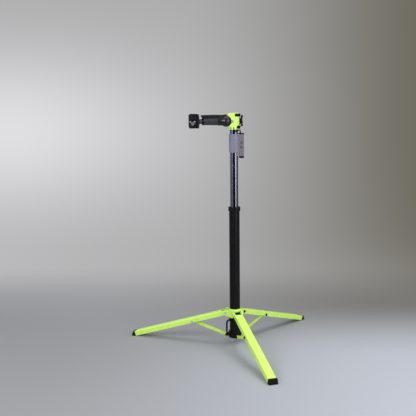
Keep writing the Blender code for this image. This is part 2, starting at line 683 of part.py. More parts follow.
def mast_outline():
    """The mast's section: a round tube with a slot down its front."""
    inner, outer = MAST_RADIUS - MAST_WALL, MAST_RADIUS
    half_out = math.degrees(math.asin(SLOT_WIDTH / 2 / outer))
    half_in = math.degrees(math.asin(SLOT_WIDTH / 2 / inner))
    outside = arc((0, 0), outer, -90 + half_out, 270 - half_out, ROUND + 4)
    return outside + arc((0, 0), inner, 270 - half_in, -90 + half_in, ROUND + 4)


def mast(frame):
    bore = TUBE_RADIUS - TUBE_WALL
    put("inner_mast", prism(mast_outline(), MAST_BOTTOM, MAST_TOP), "mast_aluminium", frame)
    inside = MAST_RADIUS + GAP
    low = MAST_BOTTOM - GAP
    foot, top = low - FOOT_GUIDE_FLOOR, MAST_BOTTOM + FOOT_GUIDE_HEIGHT
    put("mast_foot_guide", turned([(MAST_RADIUS - MAST_WALL, foot), (bore - RUN, foot),
                                   (bore - RUN, top), (inside, top), (inside, low),
                                   (MAST_RADIUS - MAST_WALL, low)]), "white_nylon", frame)
    plug_low = MAST_TOP - MAST_PLUG_HEIGHT
    rod_radius = ACTUATOR_RADIUS - ACTUATOR_WALL - RUN
    put("push_rod", drum(rod_radius, ROD_BOTTOM, plug_low - GAP, HIDDEN_ROUND), "black_metal", frame)
    plug = drum(MAST_RADIUS - MAST_WALL - GAP, plug_low, MAST_TOP, HIDDEN_ROUND)
    put("mast_plug", plug, "black_plastic", frame)


def rounded_rectangle(x, y, corner, steps=5):
    (left, right), (front, back) = x, y
    return (arc((right - corner, back - corner), corner, 0, 90, steps)
            + arc((left + corner, back - corner), corner, 90, 180, steps)
            + arc((left + corner, front + corner), corner, 180, 270, steps)
            + arc((right - corner, front + corner), corner, 270, 360, steps))


def drive(frame):
    """The gray housing of the lift's control on the mast, with its caps and buttons."""
    box_x, box_y = HOUSING_BOX
    sleeve = drum(HOUSING_SLEEVE_RADIUS, HOUSING_BOTTOM, HOUSING_TOP, ROUND, SMALL_EDGE)
    housing = put("drive_housing", sleeve, "housing_gray", frame)
    box = prism(rounded_rectangle(box_x, box_y, HOUSING_CORNER), HOUSING_BOX_BOTTOM, HOUSING_TOP - GAP)
    join(housing, box)
    cut(housing, drum(MAST_RADIUS + GAP, HOUSING_BOX_BOTTOM - PAST, HOUSING_TOP + PAST, ROUND))
    front = box_y[0]
    places = {name: (BUTTON_X, front, HOUSING_TOP - drop) for name, drop in BUTTON_DROPS.items()}
    cut(housing, gathered(*[along(drum(BUTTON_RADIUS + GAP, -PAST, BUTTON_DEPTH), "Y", place)
                            for place in places.values()]))
    for name, place in places.items():
        button = drum(BUTTON_RADIUS, -BUTTON_PROUD, BUTTON_DEPTH - BUTTON_TRAVEL - GAP, edge=FINE_EDGE)
        put(name, along(button, "Y"), "black_plastic", frame, place)
    cap_x = (MAST_RADIUS + TOP_CAP_ROOM, box_x[1] + 2 * TOP_CAP_LIP)
    cap_y = (box_y[0] - TOP_CAP_LIP, box_y[1] + TOP_CAP_LIP)
    cap_low = HOUSING_TOP + GAP
    outline = rounded_rectangle(cap_x, cap_y, HOUSING_CORNER)
    cap = put("drive_top_cap", prism(outline, cap_low, cap_low + HOUSING_CAP), "black_plastic", frame)
    gland_x, gland_y, cable_rise = CABLE_ROUTE[-1]
    gland_top = HOUSING_TOP + cable_rise - GAP
    join(cap, along(drum(GLAND_RADIUS, cap_low + LAP, gland_top), "Z", (gland_x, gland_y, 0)))
    low = HOUSING_BOX_BOTTOM - GAP
    outline = rounded_rectangle((LOW_CAP_LEFT, box_x[1]), box_y, HOUSING_CORNER)
    low_cap = prism(outline, low - HOUSING_LOW_CAP, low)
    put("drive_low_cap", softened(low_cap, EDGE, 1, 60), "black_plastic", frame)


def cable(frame):
    """The drive's cable, out of the mast's slot, up in a small loop and down into the housing's cap."""
    curve = bpy.data.curves.new("drive_cable", "CURVE")
    curve.dimensions = "3D"
    curve.bevel_depth = CABLE_RADIUS
    curve.bevel_resolution = 2
    curve.use_fill_caps = True
    line = curve.splines.new("POLY")
    route = smooth_route([Vector((x, y, HOUSING_TOP + rise)) for x, y, rise in CABLE_ROUTE], 3)
    line.points.add(len(route) - 1)
    for point, place in zip(line.points, route):
        point.co = (*place, 1)
    curve.materials.append(finish("rubber"))
    piece = bpy.data.objects.new("drive_cable", curve)
    bpy.context.collection.objects.link(piece)
    piece.parent = frame


def smooth_route(points, steps):
    """Points on a smooth curve through the given ones."""
    ends = [2 * points[0] - points[1]] + points + [2 * points[-1] - points[-2]]
    found = []
    for before, start, end, after in zip(ends, ends[1:], ends[2:], ends[3:]):
        for step in range(steps):
            t = step / steps
            square = (2 * before - 5 * start + 4 * end - after) * t ** 2
            cube = (3 * start - before - 3 * end + after) * t ** 3
            found.append((2 * start + (end - before) * t + square + cube) / 2)
    return found + [points[-1]]


def head_outline():
    """The head's front view in XZ, before its left side is hollowed round the knuckle."""
    side = HEAD_SLEEVE_RADIUS - FINE_EDGE
    return [(-side, HEAD_WAIST_Z), (side, HEAD_WAIST_Z), (HEAD_RIGHT, HEAD_WAIST_Z + HEAD_FLARE),
            (HEAD_RIGHT, HEAD_TOP - HEAD_CORNER), (HEAD_RIGHT - HEAD_CORNER, HEAD_TOP),
            (HEAD_LEFT + HEAD_CORNER, HEAD_TOP), (HEAD_LEFT, HEAD_TOP - HEAD_CORNER),
            (HEAD_LEFT, HEAD_WAIST_Z + HEAD_FLARE)]


def head(frame):
    """The lime casting: a split sleeve on the mast, and above it the housing of the arm's spindle."""
    half, neck = HEAD_DEPTH / 2, HEAD_SLEEVE_RADIUS
    piece = put("head", softened(across(head_outline(), -half, half), HEAD_EDGE, 1, 60), "lime_paint", frame)
    join(piece, drum(neck, HEAD_BOTTOM, HEAD_TOP - HEAD_SHOULDER, ROUND, EDGE))
    groove = HEAD_GROOVE / 2
    lug_x = groove + HEAD_LUG
    lug_z = (HEAD_BOTTOM, HEAD_LUG_TOP)
    join(piece, block((-lug_x, lug_x), (HEAD_LUG_FRONT, -HEAD_LUG_BACK), lug_z, EDGE, 1))
    nut_x, nut_z = NUT_SPOT
    ear = NUT_RADIUS
    join(piece, block((HEAD_EAR_LEFT, nut_x + ear), (NUT_SPAN[1] + GAP, HEAD_EAR_BACK),
                      (nut_z - ear, nut_z + ear), BROAD_EDGE, 1))
    cut(piece, along(drum(KNUCKLE_CUP, -HEAD_DEPTH, HEAD_DEPTH, CUP_ROUND), "Y", (KNUCKLE_X, 0, ARM_Z)))
    cut(piece, drum(MAST_RADIUS + GAP, HEAD_BOTTOM - PAST, MAST_TOP + GAP, ROUND))
    cut(piece, along(drum(SPINDLE_RADIUS + GAP, HEAD_LEFT - PAST, HEAD_RIGHT + PAST), "X", (0, 0, ARM_Z)))
    slit_back = HEAD_LUG_BACK + HEAD_SLIT_ROOM
    slit_z = (HEAD_BOTTOM - PAST, HEAD_GROOVE_TOP)
    cut(piece, block((-groove, groove), (HEAD_LUG_FRONT - PAST, -slit_back), slit_z))
    bolt = drum(HEAD_BOLT_RADIUS + GAP, -lug_x - PAST, lug_x + PAST)
    bolt = along(bolt, "X", (0, HEAD_BOLT_Y, HEAD_BOLT_Z))
    barrel_left, barrel_right = BARREL_SPAN
    barrel = drum(BARREL_RADIUS + GAP, barrel_left - GAP, barrel_right + PAST, HIDDEN_ROUND)
    cut(piece, gathered(bolt, along(barrel, "X", (0, *BARREL_SPOT))))
    spot = along(drum(NUT_RADIUS + LAP, NUT_SPAN[0] - PAST, NUT_SPAN[1] + GAP), "Y", (nut_x, 0, nut_z))
    screw_x, screw_z = FRONT_SCREW_SPOT
    flat = along(drum(FRONT_SCREW_RADIUS + RUN, HEAD_LUG_FRONT - PAST, FRONT_SCREW_SEAT), "Y",
                 (screw_x, 0, screw_z))
    cut(piece, gathered(spot, flat))
    nut_hole = along(drum(PIN_HOLE, HEAD_LUG_FRONT, HEAD_EAR_BACK + PAST), "Y", (nut_x, 0, nut_z))
    screw_hole = along(drum(FRONT_SCREW_SHANK + GAP, HEAD_LUG_FRONT, FRONT_SCREW_END + GAP), "Y",
                       (screw_x, 0, screw_z))
    return cut(piece, gathered(nut_hole, screw_hole))


def cap_screw(head_radius, shank_radius, seat, height, end):
    """A screw along Y whose head stands before its seat."""
    top = seat - height
    return along(turned([(0, top), (head_radius - SMALL_EDGE, top), (head_radius, top + SMALL_EDGE),
                         (head_radius, seat), (shank_radius, seat), (shank_radius, end), (0, end)],
                        SMALL_ROUND), "Y")


def head_fasteners(frame):
    face = HEAD_GROOVE / 2 + HEAD_LUG + GAP
    shank, wide, end = HEAD_BOLT_RADIUS, HEAD_BOLT_HEAD_RADIUS, face + HEAD_BOLT_HEAD
    put("head_cross_bolt", along(turned([
        (0, -end), (wide, -end), (wide, -face), (shank, -face),
        (shank, face), (wide, face), (wide, end), (0, end)], SMALL_ROUND), "X"),
        "bright_steel", frame, (0, HEAD_BOLT_Y, HEAD_BOLT_Z))
    put("head_front_screw", cap_screw(FRONT_SCREW_RADIUS, FRONT_SCREW_SHANK, FRONT_SCREW_SEAT - GAP,
                                      FRONT_SCREW_HEAD, FRONT_SCREW_END),
        "bright_steel", frame, (FRONT_SCREW_SPOT[0], 0, FRONT_SCREW_SPOT[1]))
    barrel = along(drum(BARREL_RADIUS, *BARREL_SPAN, HIDDEN_ROUND, EDGE), "X")
    put("head_barrel", barrel, "black_metal", frame, (0, *BARREL_SPOT))


def wing_nut(frame):
    """The round nut with a pointed wing that pinches the head's sleeve; its axis is along Y."""
    low, high = NUT_SPAN
    nut = put("head_wing_nut", along(drum(NUT_RADIUS, low, high, HIDDEN_ROUND, SMALL_EDGE), "Y"),
              "black_plastic", frame, (NUT_SPOT[0], 0, NUT_SPOT[1]))
    root_low, root_high = NUT_WING_ROOT
    tip = NUT_WING_TIP_HALF
    outline = [(0, root_low), (NUT_TIP, NUT_TIP_RISE - tip), (NUT_TIP, NUT_TIP_RISE + tip), (0, root_high)]
    wing = across(outline, low + NUT_WING_INSET, high - NUT_WING_INSET)
    join(nut, wing)
    return join(nut, along(drum(PIN_RADIUS, high - LAP, HEAD_EAR_BACK), "Y"))


def hand_knob(frame):
    """The lobed hand knob on the spindle's right end; its axis is along X."""
    right = KNOB_LEFT + KNOB_FLANGE
    wide, hub, edge = KNOB_FLANGE_RADIUS, KNOB_HUB_RADIUS, SMALL_EDGE
    body = turned([(0, KNOB_LEFT), (wide - edge, KNOB_LEFT), (wide, KNOB_LEFT + edge), (wide, right - edge),
                   (wide - edge, right), (hub + edge, right + edge), (hub, right + BROAD_EDGE),
                   (hub - edge, KNOB_HUB_RIGHT - BROAD_EDGE), (hub - edge - BROAD_EDGE, KNOB_HUB_RIGHT),
                   (0, KNOB_HUB_RIGHT)], HIDDEN_ROUND)
    knob = put("hand_knob", along(body, "X"), "black_plastic", frame, (0, 0, ARM_Z))
    lean = math.atan2(KNOB_ARM_X - KNOB_ARM_FOOT, KNOB_ARM_REACH)
    length = math.hypot(KNOB_ARM_X - KNOB_ARM_FOOT, KNOB_ARM_REACH)
    for number in range(3):
        ball = arc((0, length), KNOB_BALL_RADIUS, -40, 64, 3)
        root = [(0, 0), (KNOB_ARM_ROOT_RADIUS, 0), (KNOB_ARM_NECK_RADIUS, length - KNOB_BALL_RADIUS)]
        arm = turned(root + ball + [(0, length + KNOB_BALL_RADIUS)], PIN_ROUND)
        bmesh.ops.rotate(arm, cent=(0, 0, 0), matrix=Matrix.Rotation(lean, 3, "Y"), verts=arm.verts)
        bmesh.ops.translate(arm, vec=(KNOB_ARM_FOOT, 0, 0), verts=arm.verts)
        spread = Matrix.Rotation(KNOB_TURN + number * FULL_TURN / 3, 3, "X")
        bmesh.ops.rotate(arm, cent=(0, 0, 0), matrix=spread, verts=arm.verts)
        join(knob, arm)
    return cut(knob, along(drum(SPINDLE_RADIUS + GAP, 0, SPINDLE_RIGHT + GAP), "X"))


def knuckle(frame):
    """The round end of the arm, turned about the spindle, with a clevis for the clamp lever."""
    ball, neck = KNUCKLE_RADIUS, KNUCKLE_NECK_RADIUS
    start = 180 - math.degrees(math.asin(neck / ball))
    end = math.degrees(math.asin(KNUCKLE_FACE_RADIUS / ball))
    round_side = [(r, x) for x, r in arc((KNUCKLE_X, 0), ball, start, end, 7)]
    hole, socket = SPINDLE_RADIUS + GAP, ARM_RADIUS + GAP
    profile = ([(socket, KNUCKLE_LEFT), (neck, KNUCKLE_LEFT)] + round_side
               + [(hole, round_side[-1][1]), (hole, CAVITY_RIGHT), (CAVITY_RADIUS, CAVITY_RIGHT),
                  (CAVITY_RADIUS, SOCKET_RIGHT), (socket, SOCKET_RIGHT)])
    piece = put("arm_knuckle", along(turned(profile, ROUND), "X"), "black_plastic", frame, (0, 0, ARM_Z))
    pivot_x, pivot_z = LEVER_PIVOT
    half = LEVER_ROOT_WIDTH / 2 + RUN
    room = LEVER_ROOT_RADIUS + LEVER_ROOM
    cut(piece, block((pivot_x - room, pivot_x + room), (-half, half), (pivot_z - ARM_Z - room, ball + PAST)))
    return cut(piece, along(drum(LEVER_PIN_RADIUS + GAP, -ball, ball), "Y", (pivot_x, 0, pivot_z - ARM_Z)))


def arm(frame):
    knuckle(frame)
    right = SOCKET_RIGHT - GAP
    tube = turned([(ARM_BORE, ARM_LEFT), (ARM_RADIUS_LEFT, ARM_LEFT),
                   (ARM_RADIUS, KNUCKLE_LEFT - BROAD_EDGE), (ARM_RADIUS, right), (ARM_BORE, right)])
    put("arm_tube", along(tube, "X"), "black_metal", frame, (0, 0, ARM_Z))
    shoulder = KNUCKLE_X + math.sqrt(KNUCKLE_RADIUS ** 2 - KNUCKLE_FACE_RADIUS ** 2) + GAP
    radius, wide, left = SPINDLE_RADIUS, KNUCKLE_FACE_RADIUS - RUN, CAVITY_RIGHT + RUN
    put("spindle", along(turned([
        (0, left), (radius, left), (radius, shoulder), (wide, shoulder), (wide, shoulder + WASHER),
        (radius, shoulder + WASHER), (radius, SPINDLE_RIGHT), (0, SPINDLE_RIGHT)], HIDDEN_ROUND), "X"),
        "bright_steel", frame, (0, 0, ARM_Z))
    put("lever_pin", along(drum(LEVER_PIN_RADIUS, -LEVER_PIN_HALF, LEVER_PIN_HALF, edge=RUN), "Y"),
        "bright_steel", frame, (LEVER_PIVOT[0], 0, LEVER_PIVOT[1]))
    core = NECK_CORE_RADIUS
    rod_hole = PULL_ROD_RADIUS + GAP
    plug = ARM_BORE - GAP
    step, seat, end = RED_RING[0] - GAP, ARM_LEFT + GAP, ARM_LEFT + NECK_PLUG
    neck = turned([(rod_hole, NECK_LEFT), (NECK_RADIUS, NECK_LEFT), (NECK_RADIUS, step), (core, step),
                   (core, seat), (plug, seat), (plug, end), (rod_hole, end)], HIDDEN_ROUND)
    put("clamp_neck", along(neck, "X"), "mast_aluminium", frame, (0, 0, ARM_Z))
    put("arm_end_ring", along(ring(core + GAP, RING_RADIUS, *BLACK_RING, edge=SMALL_EDGE), "X"),
        "black_plastic", frame, (0, 0, ARM_Z))
    put("rod_guide", along(ring(rod_hole, plug, *ROD_GUIDE, HIDDEN_ROUND), "X"), "white_nylon", frame,
        (0, 0, ARM_Z))


def adjust_ring(frame):
    """The red ring that sets the jaw's opening, with grip flats; its axis is along X."""
    points = []
    for number in range(RING_GRIPS * 2):
        radius = RED_RING_RADIUS + (FINE_EDGE if number % 2 else 0.0)
        angle = number * FULL_TURN / (RING_GRIPS * 2)
        points.append((radius * math.cos(angle), radius * math.sin(angle)))
    shape = prism(points, RED_RING[0], RED_RING[1], [circle((0, 0), NECK_CORE_RADIUS + GAP, HIDDEN_ROUND)])
    put("adjust_ring", along(shape, "X"), "red_anodised", frame, (0, 0, ARM_Z))


def pull_rod(frame):
    """The rod from the lever's cam to the jaw, with a cross head under the cam."""
    x, pivot_z = LEVER_PIVOT
    bar = along(drum(PULL_ROD_RADIUS, PULL_ROD_LEFT, x), "X")
    rod = put("pull_rod", bar, "bright_steel", frame, (0, 0, ARM_Z))
    long, wide, low = CROSS_HEAD
    top = pivot_z - LEVER_ROOT_RADIUS - RUN - ARM_Z
    return join(rod, block((x - long, x + long), (-wide, wide), (-low, top), SMALL_EDGE, 1))


def clamp_lever(frame):
    """The long lever on the arm's top, its round root in the knuckle's slot; its origin is its pin."""
    pivot_x, pivot_z = LEVER_PIVOT
    low = ARM_Z + KNUCKLE_NECK_RADIUS + RUN - pivot_z
    high = low + LEVER_THICKNESS
    left = LEVER_LEFT - pivot_x
    root = LEVER_ROOT_RADIUS
    half = LEVER_ROOT_WIDTH / 2
    top_angle = math.degrees(math.asin(high / root)) if high < root else 90
    low_angle = 180 - math.degrees(math.asin(low / root))
    tip, inset = LEVER_TIP, LAP / 2
    side = ([(left, low + tip), (left + tip, low)] + arc((0, 0), root, low_angle, 540 - top_angle, 14)
            + [(left / 2, high + LEVER_ARCH), (left + tip, high), (left, high - tip)])
    lever = put("clamp_lever", softened(across(side, -half, half), SMALL_EDGE, 1, 50), "black_plastic", frame)
    wide, start = LEVER_WIDTH / 2, -root - LEVER_GRIP_ROOM
    grip = [(left + inset, low + tip), (left + tip, low + inset), (start, low + inset), (start, high),
            (left / 2, high + LEVER_ARCH - inset), (left + tip, high - inset), (left + inset, high - tip)]
    join(lever, softened(across(grip, -wide, wide), BROAD_EDGE, 2, 60))
    return cut(lever, along(drum(LEVER_PIN_RADIUS + GAP, -wide, wide), "Y"))


def jaw_outline(side):
    """A jaw's outer outline in XY; side is 1 behind the post and -1 before it."""
    corner = JAW_CORNER
    right = JAW_PIVOT[0] - JAW_LUG_RADIUS - BROAD_EDGE
    return [(JAW_LEFT, side * JAW_LIP), (JAW_LEFT, side * (JAW_DEPTH - corner)),
            (JAW_LEFT + corner, side * JAW_DEPTH), (right - BROAD_EDGE, side * JAW_DEPTH),
            (right, side * (JAW_DEPTH - BROAD_EDGE)), (right, side * JAW_LIP)]


def recess():
    radius = POST_RADIUS + PAD_THICKNESS + RUN
    return along(drum(radius, JAW_LOW - PAST, JAW_HIGH + PAST, ROUND), "Z", (POST_X, 0, 0))


def tapers():
    """The wedges that take the upper and lower left corners off a jaw."""
    left, inner, past = JAW_LEFT - LAP, JAW_LEFT + JAW_TAPER + PAST, JAW_TAPER + LAP
    high = [(left, JAW_HIGH - past), (inner, JAW_HIGH + PAST), (left, JAW_HIGH + PAST)]
    low = [(left, JAW_LOW + past), (left, JAW_LOW - PAST), (inner, JAW_LOW - PAST)]
    reach = JAW_DEPTH + PAST
    return gathered(across(high, -reach, reach), across(low, -reach, reach))


def pad_shape(start, end):
    inner, outer = POST_RADIUS + RUN / 2, POST_RADIUS + PAD_THICKNESS + RUN / 2
    points = arc((POST_X, 0), outer, start, end, 12) + arc((POST_X, 0), inner, end, start, 12)
    return prism(points, JAW_LOW + PAD_INSET, JAW_HIGH - PAD_INSET)


def fixed_jaw(frame):
    """The jaw on the arm's end, with the lugs of the moving jaw's pin."""
    pivot_x, pivot_y = JAW_PIVOT
    face = pivot_y + JAW_LUG_RADIUS + EDGE
    right = pivot_x - JAW_LUG_RADIUS
    outline = [(JAW_LEFT, JAW_LIP), (JAW_LEFT, JAW_DEPTH - JAW_CORNER), (JAW_LEFT + JAW_CORNER, JAW_DEPTH),
               (right - BROAD_EDGE, JAW_DEPTH), (JAW_RIGHT, JAW_DEPTH - JAW_SHOULDER), (JAW_RIGHT, face),
               (right, face), (right, JAW_LIP)]
    body = softened(prism(outline, JAW_LOW, JAW_HIGH), JAW_EDGE, 1, 60)
    jaw = put("fixed_jaw", body, "black_plastic", frame)
    reach, inset = face + BROAD_EDGE, LAP / 2
    lug = [(right, reach)] + arc(JAW_PIVOT, JAW_LUG_RADIUS, 180, 330, 8) + [(JAW_RIGHT, reach)]
    join(jaw, gathered(prism(lug, JAW_LOW + inset, JAW_LOW + JAW_LUG_HEIGHT),
                       prism(lug, JAW_HIGH - JAW_LUG_HEIGHT, JAW_HIGH - inset)))
    cut(cut(jaw, recess()), tapers())
    pin = along(drum(JAW_PIN_RADIUS + GAP, JAW_LOW - PAST, JAW_HIGH + PAST), "Z", (pivot_x, pivot_y, 0))
    rod_end = PULL_ROD_LEFT - PULL_ROD_TRAVEL - SMALL_EDGE
    rod = along(drum(PULL_ROD_RADIUS + GAP, rod_end, JAW_RIGHT + PAST), "X", (0, 0, ARM_Z))
    return cut(jaw, gathered(pin, rod))


def moving_jaw(frame):
    """The jaw that swings on an upright pin; its origin is that pin."""
    pivot_x, pivot_y = JAW_PIVOT
    shape = softened(prism(jaw_outline(-1), JAW_LOW, JAW_HIGH), JAW_EDGE, 1, 60)
    shift = (-pivot_x, -pivot_y, 0)
    jaw = put("moving_jaw", along(shape, "Z", shift), "black_plastic", frame)
    body_right = -JAW_LUG_RADIUS - BROAD_EDGE - LAP
    knuckle_radius = JAW_LUG_RADIUS + SMALL_EDGE
    knuckle_outline = [(body_right, -knuckle_radius)] + arc((0, 0), knuckle_radius, -90, 90, 10) + [
        (body_right, knuckle_radius)]
    join(jaw, prism(knuckle_outline, JAW_LOW + JAW_LUG_HEIGHT + RUN, JAW_HIGH - JAW_LUG_HEIGHT - RUN))
    cut(cut(jaw, along(recess(), "Z", shift)), along(tapers(), "Z", shift))
    holes = [drum(JAW_PIN_RADIUS + GAP, JAW_LOW - PAST, JAW_HIGH + PAST)]
    for x, z in SCREW_SPOTS.values():
        hole = drum(SCREW_SHANK + GAP, -JAW_DEPTH - PAST, SCREW_END + GAP)
        holes.append(along(hole, "Y", (x - pivot_x, -pivot_y, z)))
    cut(jaw, gathered(*holes))
    put("moving_jaw_pad", along(pad_shape(220, 300), "Z", shift), "rubber", frame)
    front = -JAW_DEPTH - GAP
    disc = drum(DISC_RADIUS, front - DISC_HEIGHT, front, HIDDEN_ROUND, FINE_EDGE)
    disc_x, disc_z = DISC_SPOT
    put("jaw_disc", along(disc, "Y"), "mast_aluminium", frame, (disc_x - pivot_x, -pivot_y, disc_z))
    for name, (x, z) in SCREW_SPOTS.items():
        screw = cap_screw(SCREW_RADIUS, SCREW_SHANK, front, SCREW_HEAD, SCREW_END)
        put(name, screw, "bright_steel", frame, (x - pivot_x, -pivot_y, z))


def clamp(arm_frame):
    fixed_jaw(arm_frame)
    put("fixed_jaw_pad", pad_shape(40, 140), "rubber", arm_frame)
    low, seat, radius, wide = JAW_LOW - SMALL_EDGE, JAW_HIGH + GAP, JAW_PIN_RADIUS, JAW_PIN_HEAD_RADIUS
    top = seat + JAW_PIN_HEAD
    pin = turned([(0, low), (radius, low), (radius, seat), (wide, seat), (wide, top), (0, top)], SMALL_ROUND)
    put("jaw_pin", pin, "bright_steel", arm_frame, (*JAW_PIVOT, 0))
    moving_jaw(empty("jaw_frame", arm_frame, (*JAW_PIVOT, 0)))


def centre_on_floor(root):
    """Moves the stand so that the middle of its footprint is at the origin."""
    bpy.context.view_layer.update()
    corners = [piece.matrix_world @ Vector(corner) for piece in bpy.data.objects
               if piece.type != "EMPTY" and not piece.hide_render for corner in piece.bound_box]
    for axis in (0, 1):
        values = [corner[axis] for corner in corners]
        root.location[axis] -= (min(values) + max(values)) / 2


def main():
    for old in list(bpy.data.objects):
        bpy.data.objects.remove(old, do_unlink=True)
    root = empty("stand")
    outer_column(root)
    collar(root)
    handle(root)
    tripod(root)
    mast_frame = empty("mast_frame", root)
    mast(mast_frame)
    drive(mast_frame)
    cable(mast_frame)
    head(mast_frame)
    head_fasteners(mast_frame)
    wing_nut(mast_frame)
    hand_knob(mast_frame)
    arm_frame = empty("arm_frame", mast_frame)
    arm(arm_frame)
    adjust_ring(arm_frame)
    pull_rod(arm_frame)
    clamp(arm_frame)
    clamp_lever(empty("lever_frame", arm_frame, (LEVER_PIVOT[0], 0, LEVER_PIVOT[1])))
    centre_on_floor(root)


main()
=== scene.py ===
"""The look of the folding repair stand with a motor-lifted mast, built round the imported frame."""

import json
import math

import bmesh
import bpy
from mathutils import Matrix, Vector


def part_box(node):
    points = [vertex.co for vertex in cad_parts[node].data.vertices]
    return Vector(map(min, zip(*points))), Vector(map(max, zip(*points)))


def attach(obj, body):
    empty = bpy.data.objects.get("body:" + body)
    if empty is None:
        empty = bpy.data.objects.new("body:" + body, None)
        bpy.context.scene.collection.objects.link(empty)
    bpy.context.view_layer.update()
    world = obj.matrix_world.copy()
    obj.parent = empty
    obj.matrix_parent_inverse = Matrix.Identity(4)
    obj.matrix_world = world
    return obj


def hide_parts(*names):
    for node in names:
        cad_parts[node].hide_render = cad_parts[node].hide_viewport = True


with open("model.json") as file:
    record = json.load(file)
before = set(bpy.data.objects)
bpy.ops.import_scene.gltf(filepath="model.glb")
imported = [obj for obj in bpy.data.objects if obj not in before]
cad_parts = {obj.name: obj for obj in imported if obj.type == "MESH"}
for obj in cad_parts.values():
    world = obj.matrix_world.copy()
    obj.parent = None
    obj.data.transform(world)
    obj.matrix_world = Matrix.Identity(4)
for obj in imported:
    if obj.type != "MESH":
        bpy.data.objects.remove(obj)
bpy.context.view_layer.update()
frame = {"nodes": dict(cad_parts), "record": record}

# Where the column's axis stands on the floor, and the camera, seen from there
LOW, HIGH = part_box("outer_tube")
AXIS = ((LOW[0] + HIGH[0]) / 2, (LOW[1] + HIGH[1]) / 2)
CAMERA_BACK = 3.882
CAMERA_HEIGHT = 1.370
CAMERA_TILT = math.radians(7.46)
CAMERA_TURN = math.radians(-2.39)
CAMERA_ROLL = math.radians(-0.65)
CAMERA_LENS = 54.95
CAMERA_REACH = 60
PHOTO_SENSOR = 36.0

# The studio: its floor, bend and wall, in metres from the axis, and its tones, which are painted light and
# shade: floor and back tones change from left to right, and the far wall emits a painted pool of light
STAGE_FRONT = 14.0
STAGE_BACK = 3.2
STAGE_BEND = 1.6
BEND_STEPS = 12
STAGE_HEIGHT = 6.0
STAGE_SIDE = 16.0
STAGE_SPREAD = (-1.2, 1.1)
FLOOR_LEFT = (0.27, 0.27, 0.275)
FLOOR_RIGHT = (0.40, 0.42, 0.460)
BACK_LEFT = (0.30, 0.30, 0.305)
BACK_RIGHT = (0.150, 0.145, 0.130)
BACK_DEPTH = (-0.3, 1.0)
WALL_LEFT = (0.405, 0.405, 0.41)
WALL_RIGHT = (0.150, 0.140, 0.108)
WALL_SPREAD = (-0.9, 2.9)
WALL_DEPTH = (0.3, 2.2)
# A painted pool of light on the far wall: its colour, its centre and its reach
PAINTED_WALL_GLOW = (0.74, 0.74, 0.76)
PAINTED_GLOW_SPOT = (-3.2, 1.3)
PAINTED_GLOW_REACH = (2.5, 1.15)

# Each lamp's place from the axis, the height that it looks at, its size and its watts
LAMPS = {
    "key": ((1.3, 0.2, 3.5), 0.4, (1.8, 1.8), 52),
    "left": ((-2.2, -2.4, 2.4), 0.8, (2.4, 1.8), 76),
    "right": ((2.4, -2.2, 1.6), 0.6, (1.6, 2.2), 50),
}
WORLD_COLOUR = (0.90, 0.92, 1.0)
WORLD_STRENGTH = 0.60

# How the record groups the nodes, which nodes stay as they are, and which get a shape of their own
SLOT_OF = {part["node"]: part["material_slot"] for part in frame["record"]["subparts"]}
BODY_OF = {node: body for body, nodes in frame["record"]["behaviour"]["bodies"].items() for node in nodes}
INSIDE = ("lift_motor", "actuator_tube", "push_rod", "mast_plug", "spindle", "pull_rod", "rod_guide",
          "mast_foot_guide", "base_plug")
OWN_PIECES = ("outer_tube", "tube_crown", "stop_ring", "arm_tube", "arm_end_ring", "clamp_neck",
              "head_front_screw", "jaw_screw_left", "jaw_screw_right", "head_cross_bolt", "hub_pin_left",
              "hub_pin_front", "hub_pin_right", "strut_pin_left", "strut_pin_front", "strut_pin_right")
RIBBED = ("foot_left", "foot_front", "foot_right", "fixed_jaw_pad", "moving_jaw_pad")
FINISH_OF = {"arm_tube": "arm_tube", "inner_mast": "inner_mast", "arm_knuckle": "arm_lacquer",
             "clamp_lever": "arm_lacquer", **dict.fromkeys(RIBBED, "ribbed_rubber")}

# How round the turned pieces are, and the turns in degrees past which an edge is sharp
SMOOTH = 96
SCREW_ROUND = 24
SHARP = 48.0
SCREW_TURN = 35.0
NUT_TURN = 25.0
TURNS = {"adjust_ring": 20.0, "hand_knob": 60.0, "head_wing_nut": 60.0}
FIT_GAP = 0.0003

# The column's tube, crown and stop ring
TUBE_BORE = 0.0295
TUBE_EDGE = 0.0006
CROWN_STEP = 0.0255
CROWN_EDGE = 0.0012
CROWN_THICK = 0.0067
CROWN_GROOVE = 0.0007
CROWN_ROUND = 0.0035
CROWN_STEPS = 6
RING_EDGE = 0.0014

# The arm's tube, end ring and neck
ARM_HEIGHT = (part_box("arm_tube")[0][2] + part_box("arm_tube")[1][2]) / 2
ARM_SHOULDER = AXIS[0] - 0.099
ARM_BORE = 0.0150
ARM_TAPER = 0.0015
ARM_EDGE = 0.0008
END_EDGE = 0.0009
GROOVES = 3
GROOVE_PITCH = 0.0017
GROOVE_DEPTH = 0.0007
NECK_CORE = 0.0120
NECK_EDGE = 0.0006
NECK_PLAIN = 0.0040
ROD_HOLE = 0.0043
THREAD_PITCH = 0.0016
THREAD_DEPTH = 0.0008
THREAD_START = 0.0045
THREAD_END = 0.0020

# The walls under the clamp lever, which also fill the gap above the arm tube with black as painted shade
SKIRT_LOW = ARM_HEIGHT + 0.0215
SKIRT_APART = 0.022
SKIRT_WALL = 0.0022
SKIRT_LEFT = 0.006
SKIRT_RIGHT = 0.012
SKIRT_DROP = 0.009
SKIRT_EDGE = 0.0008

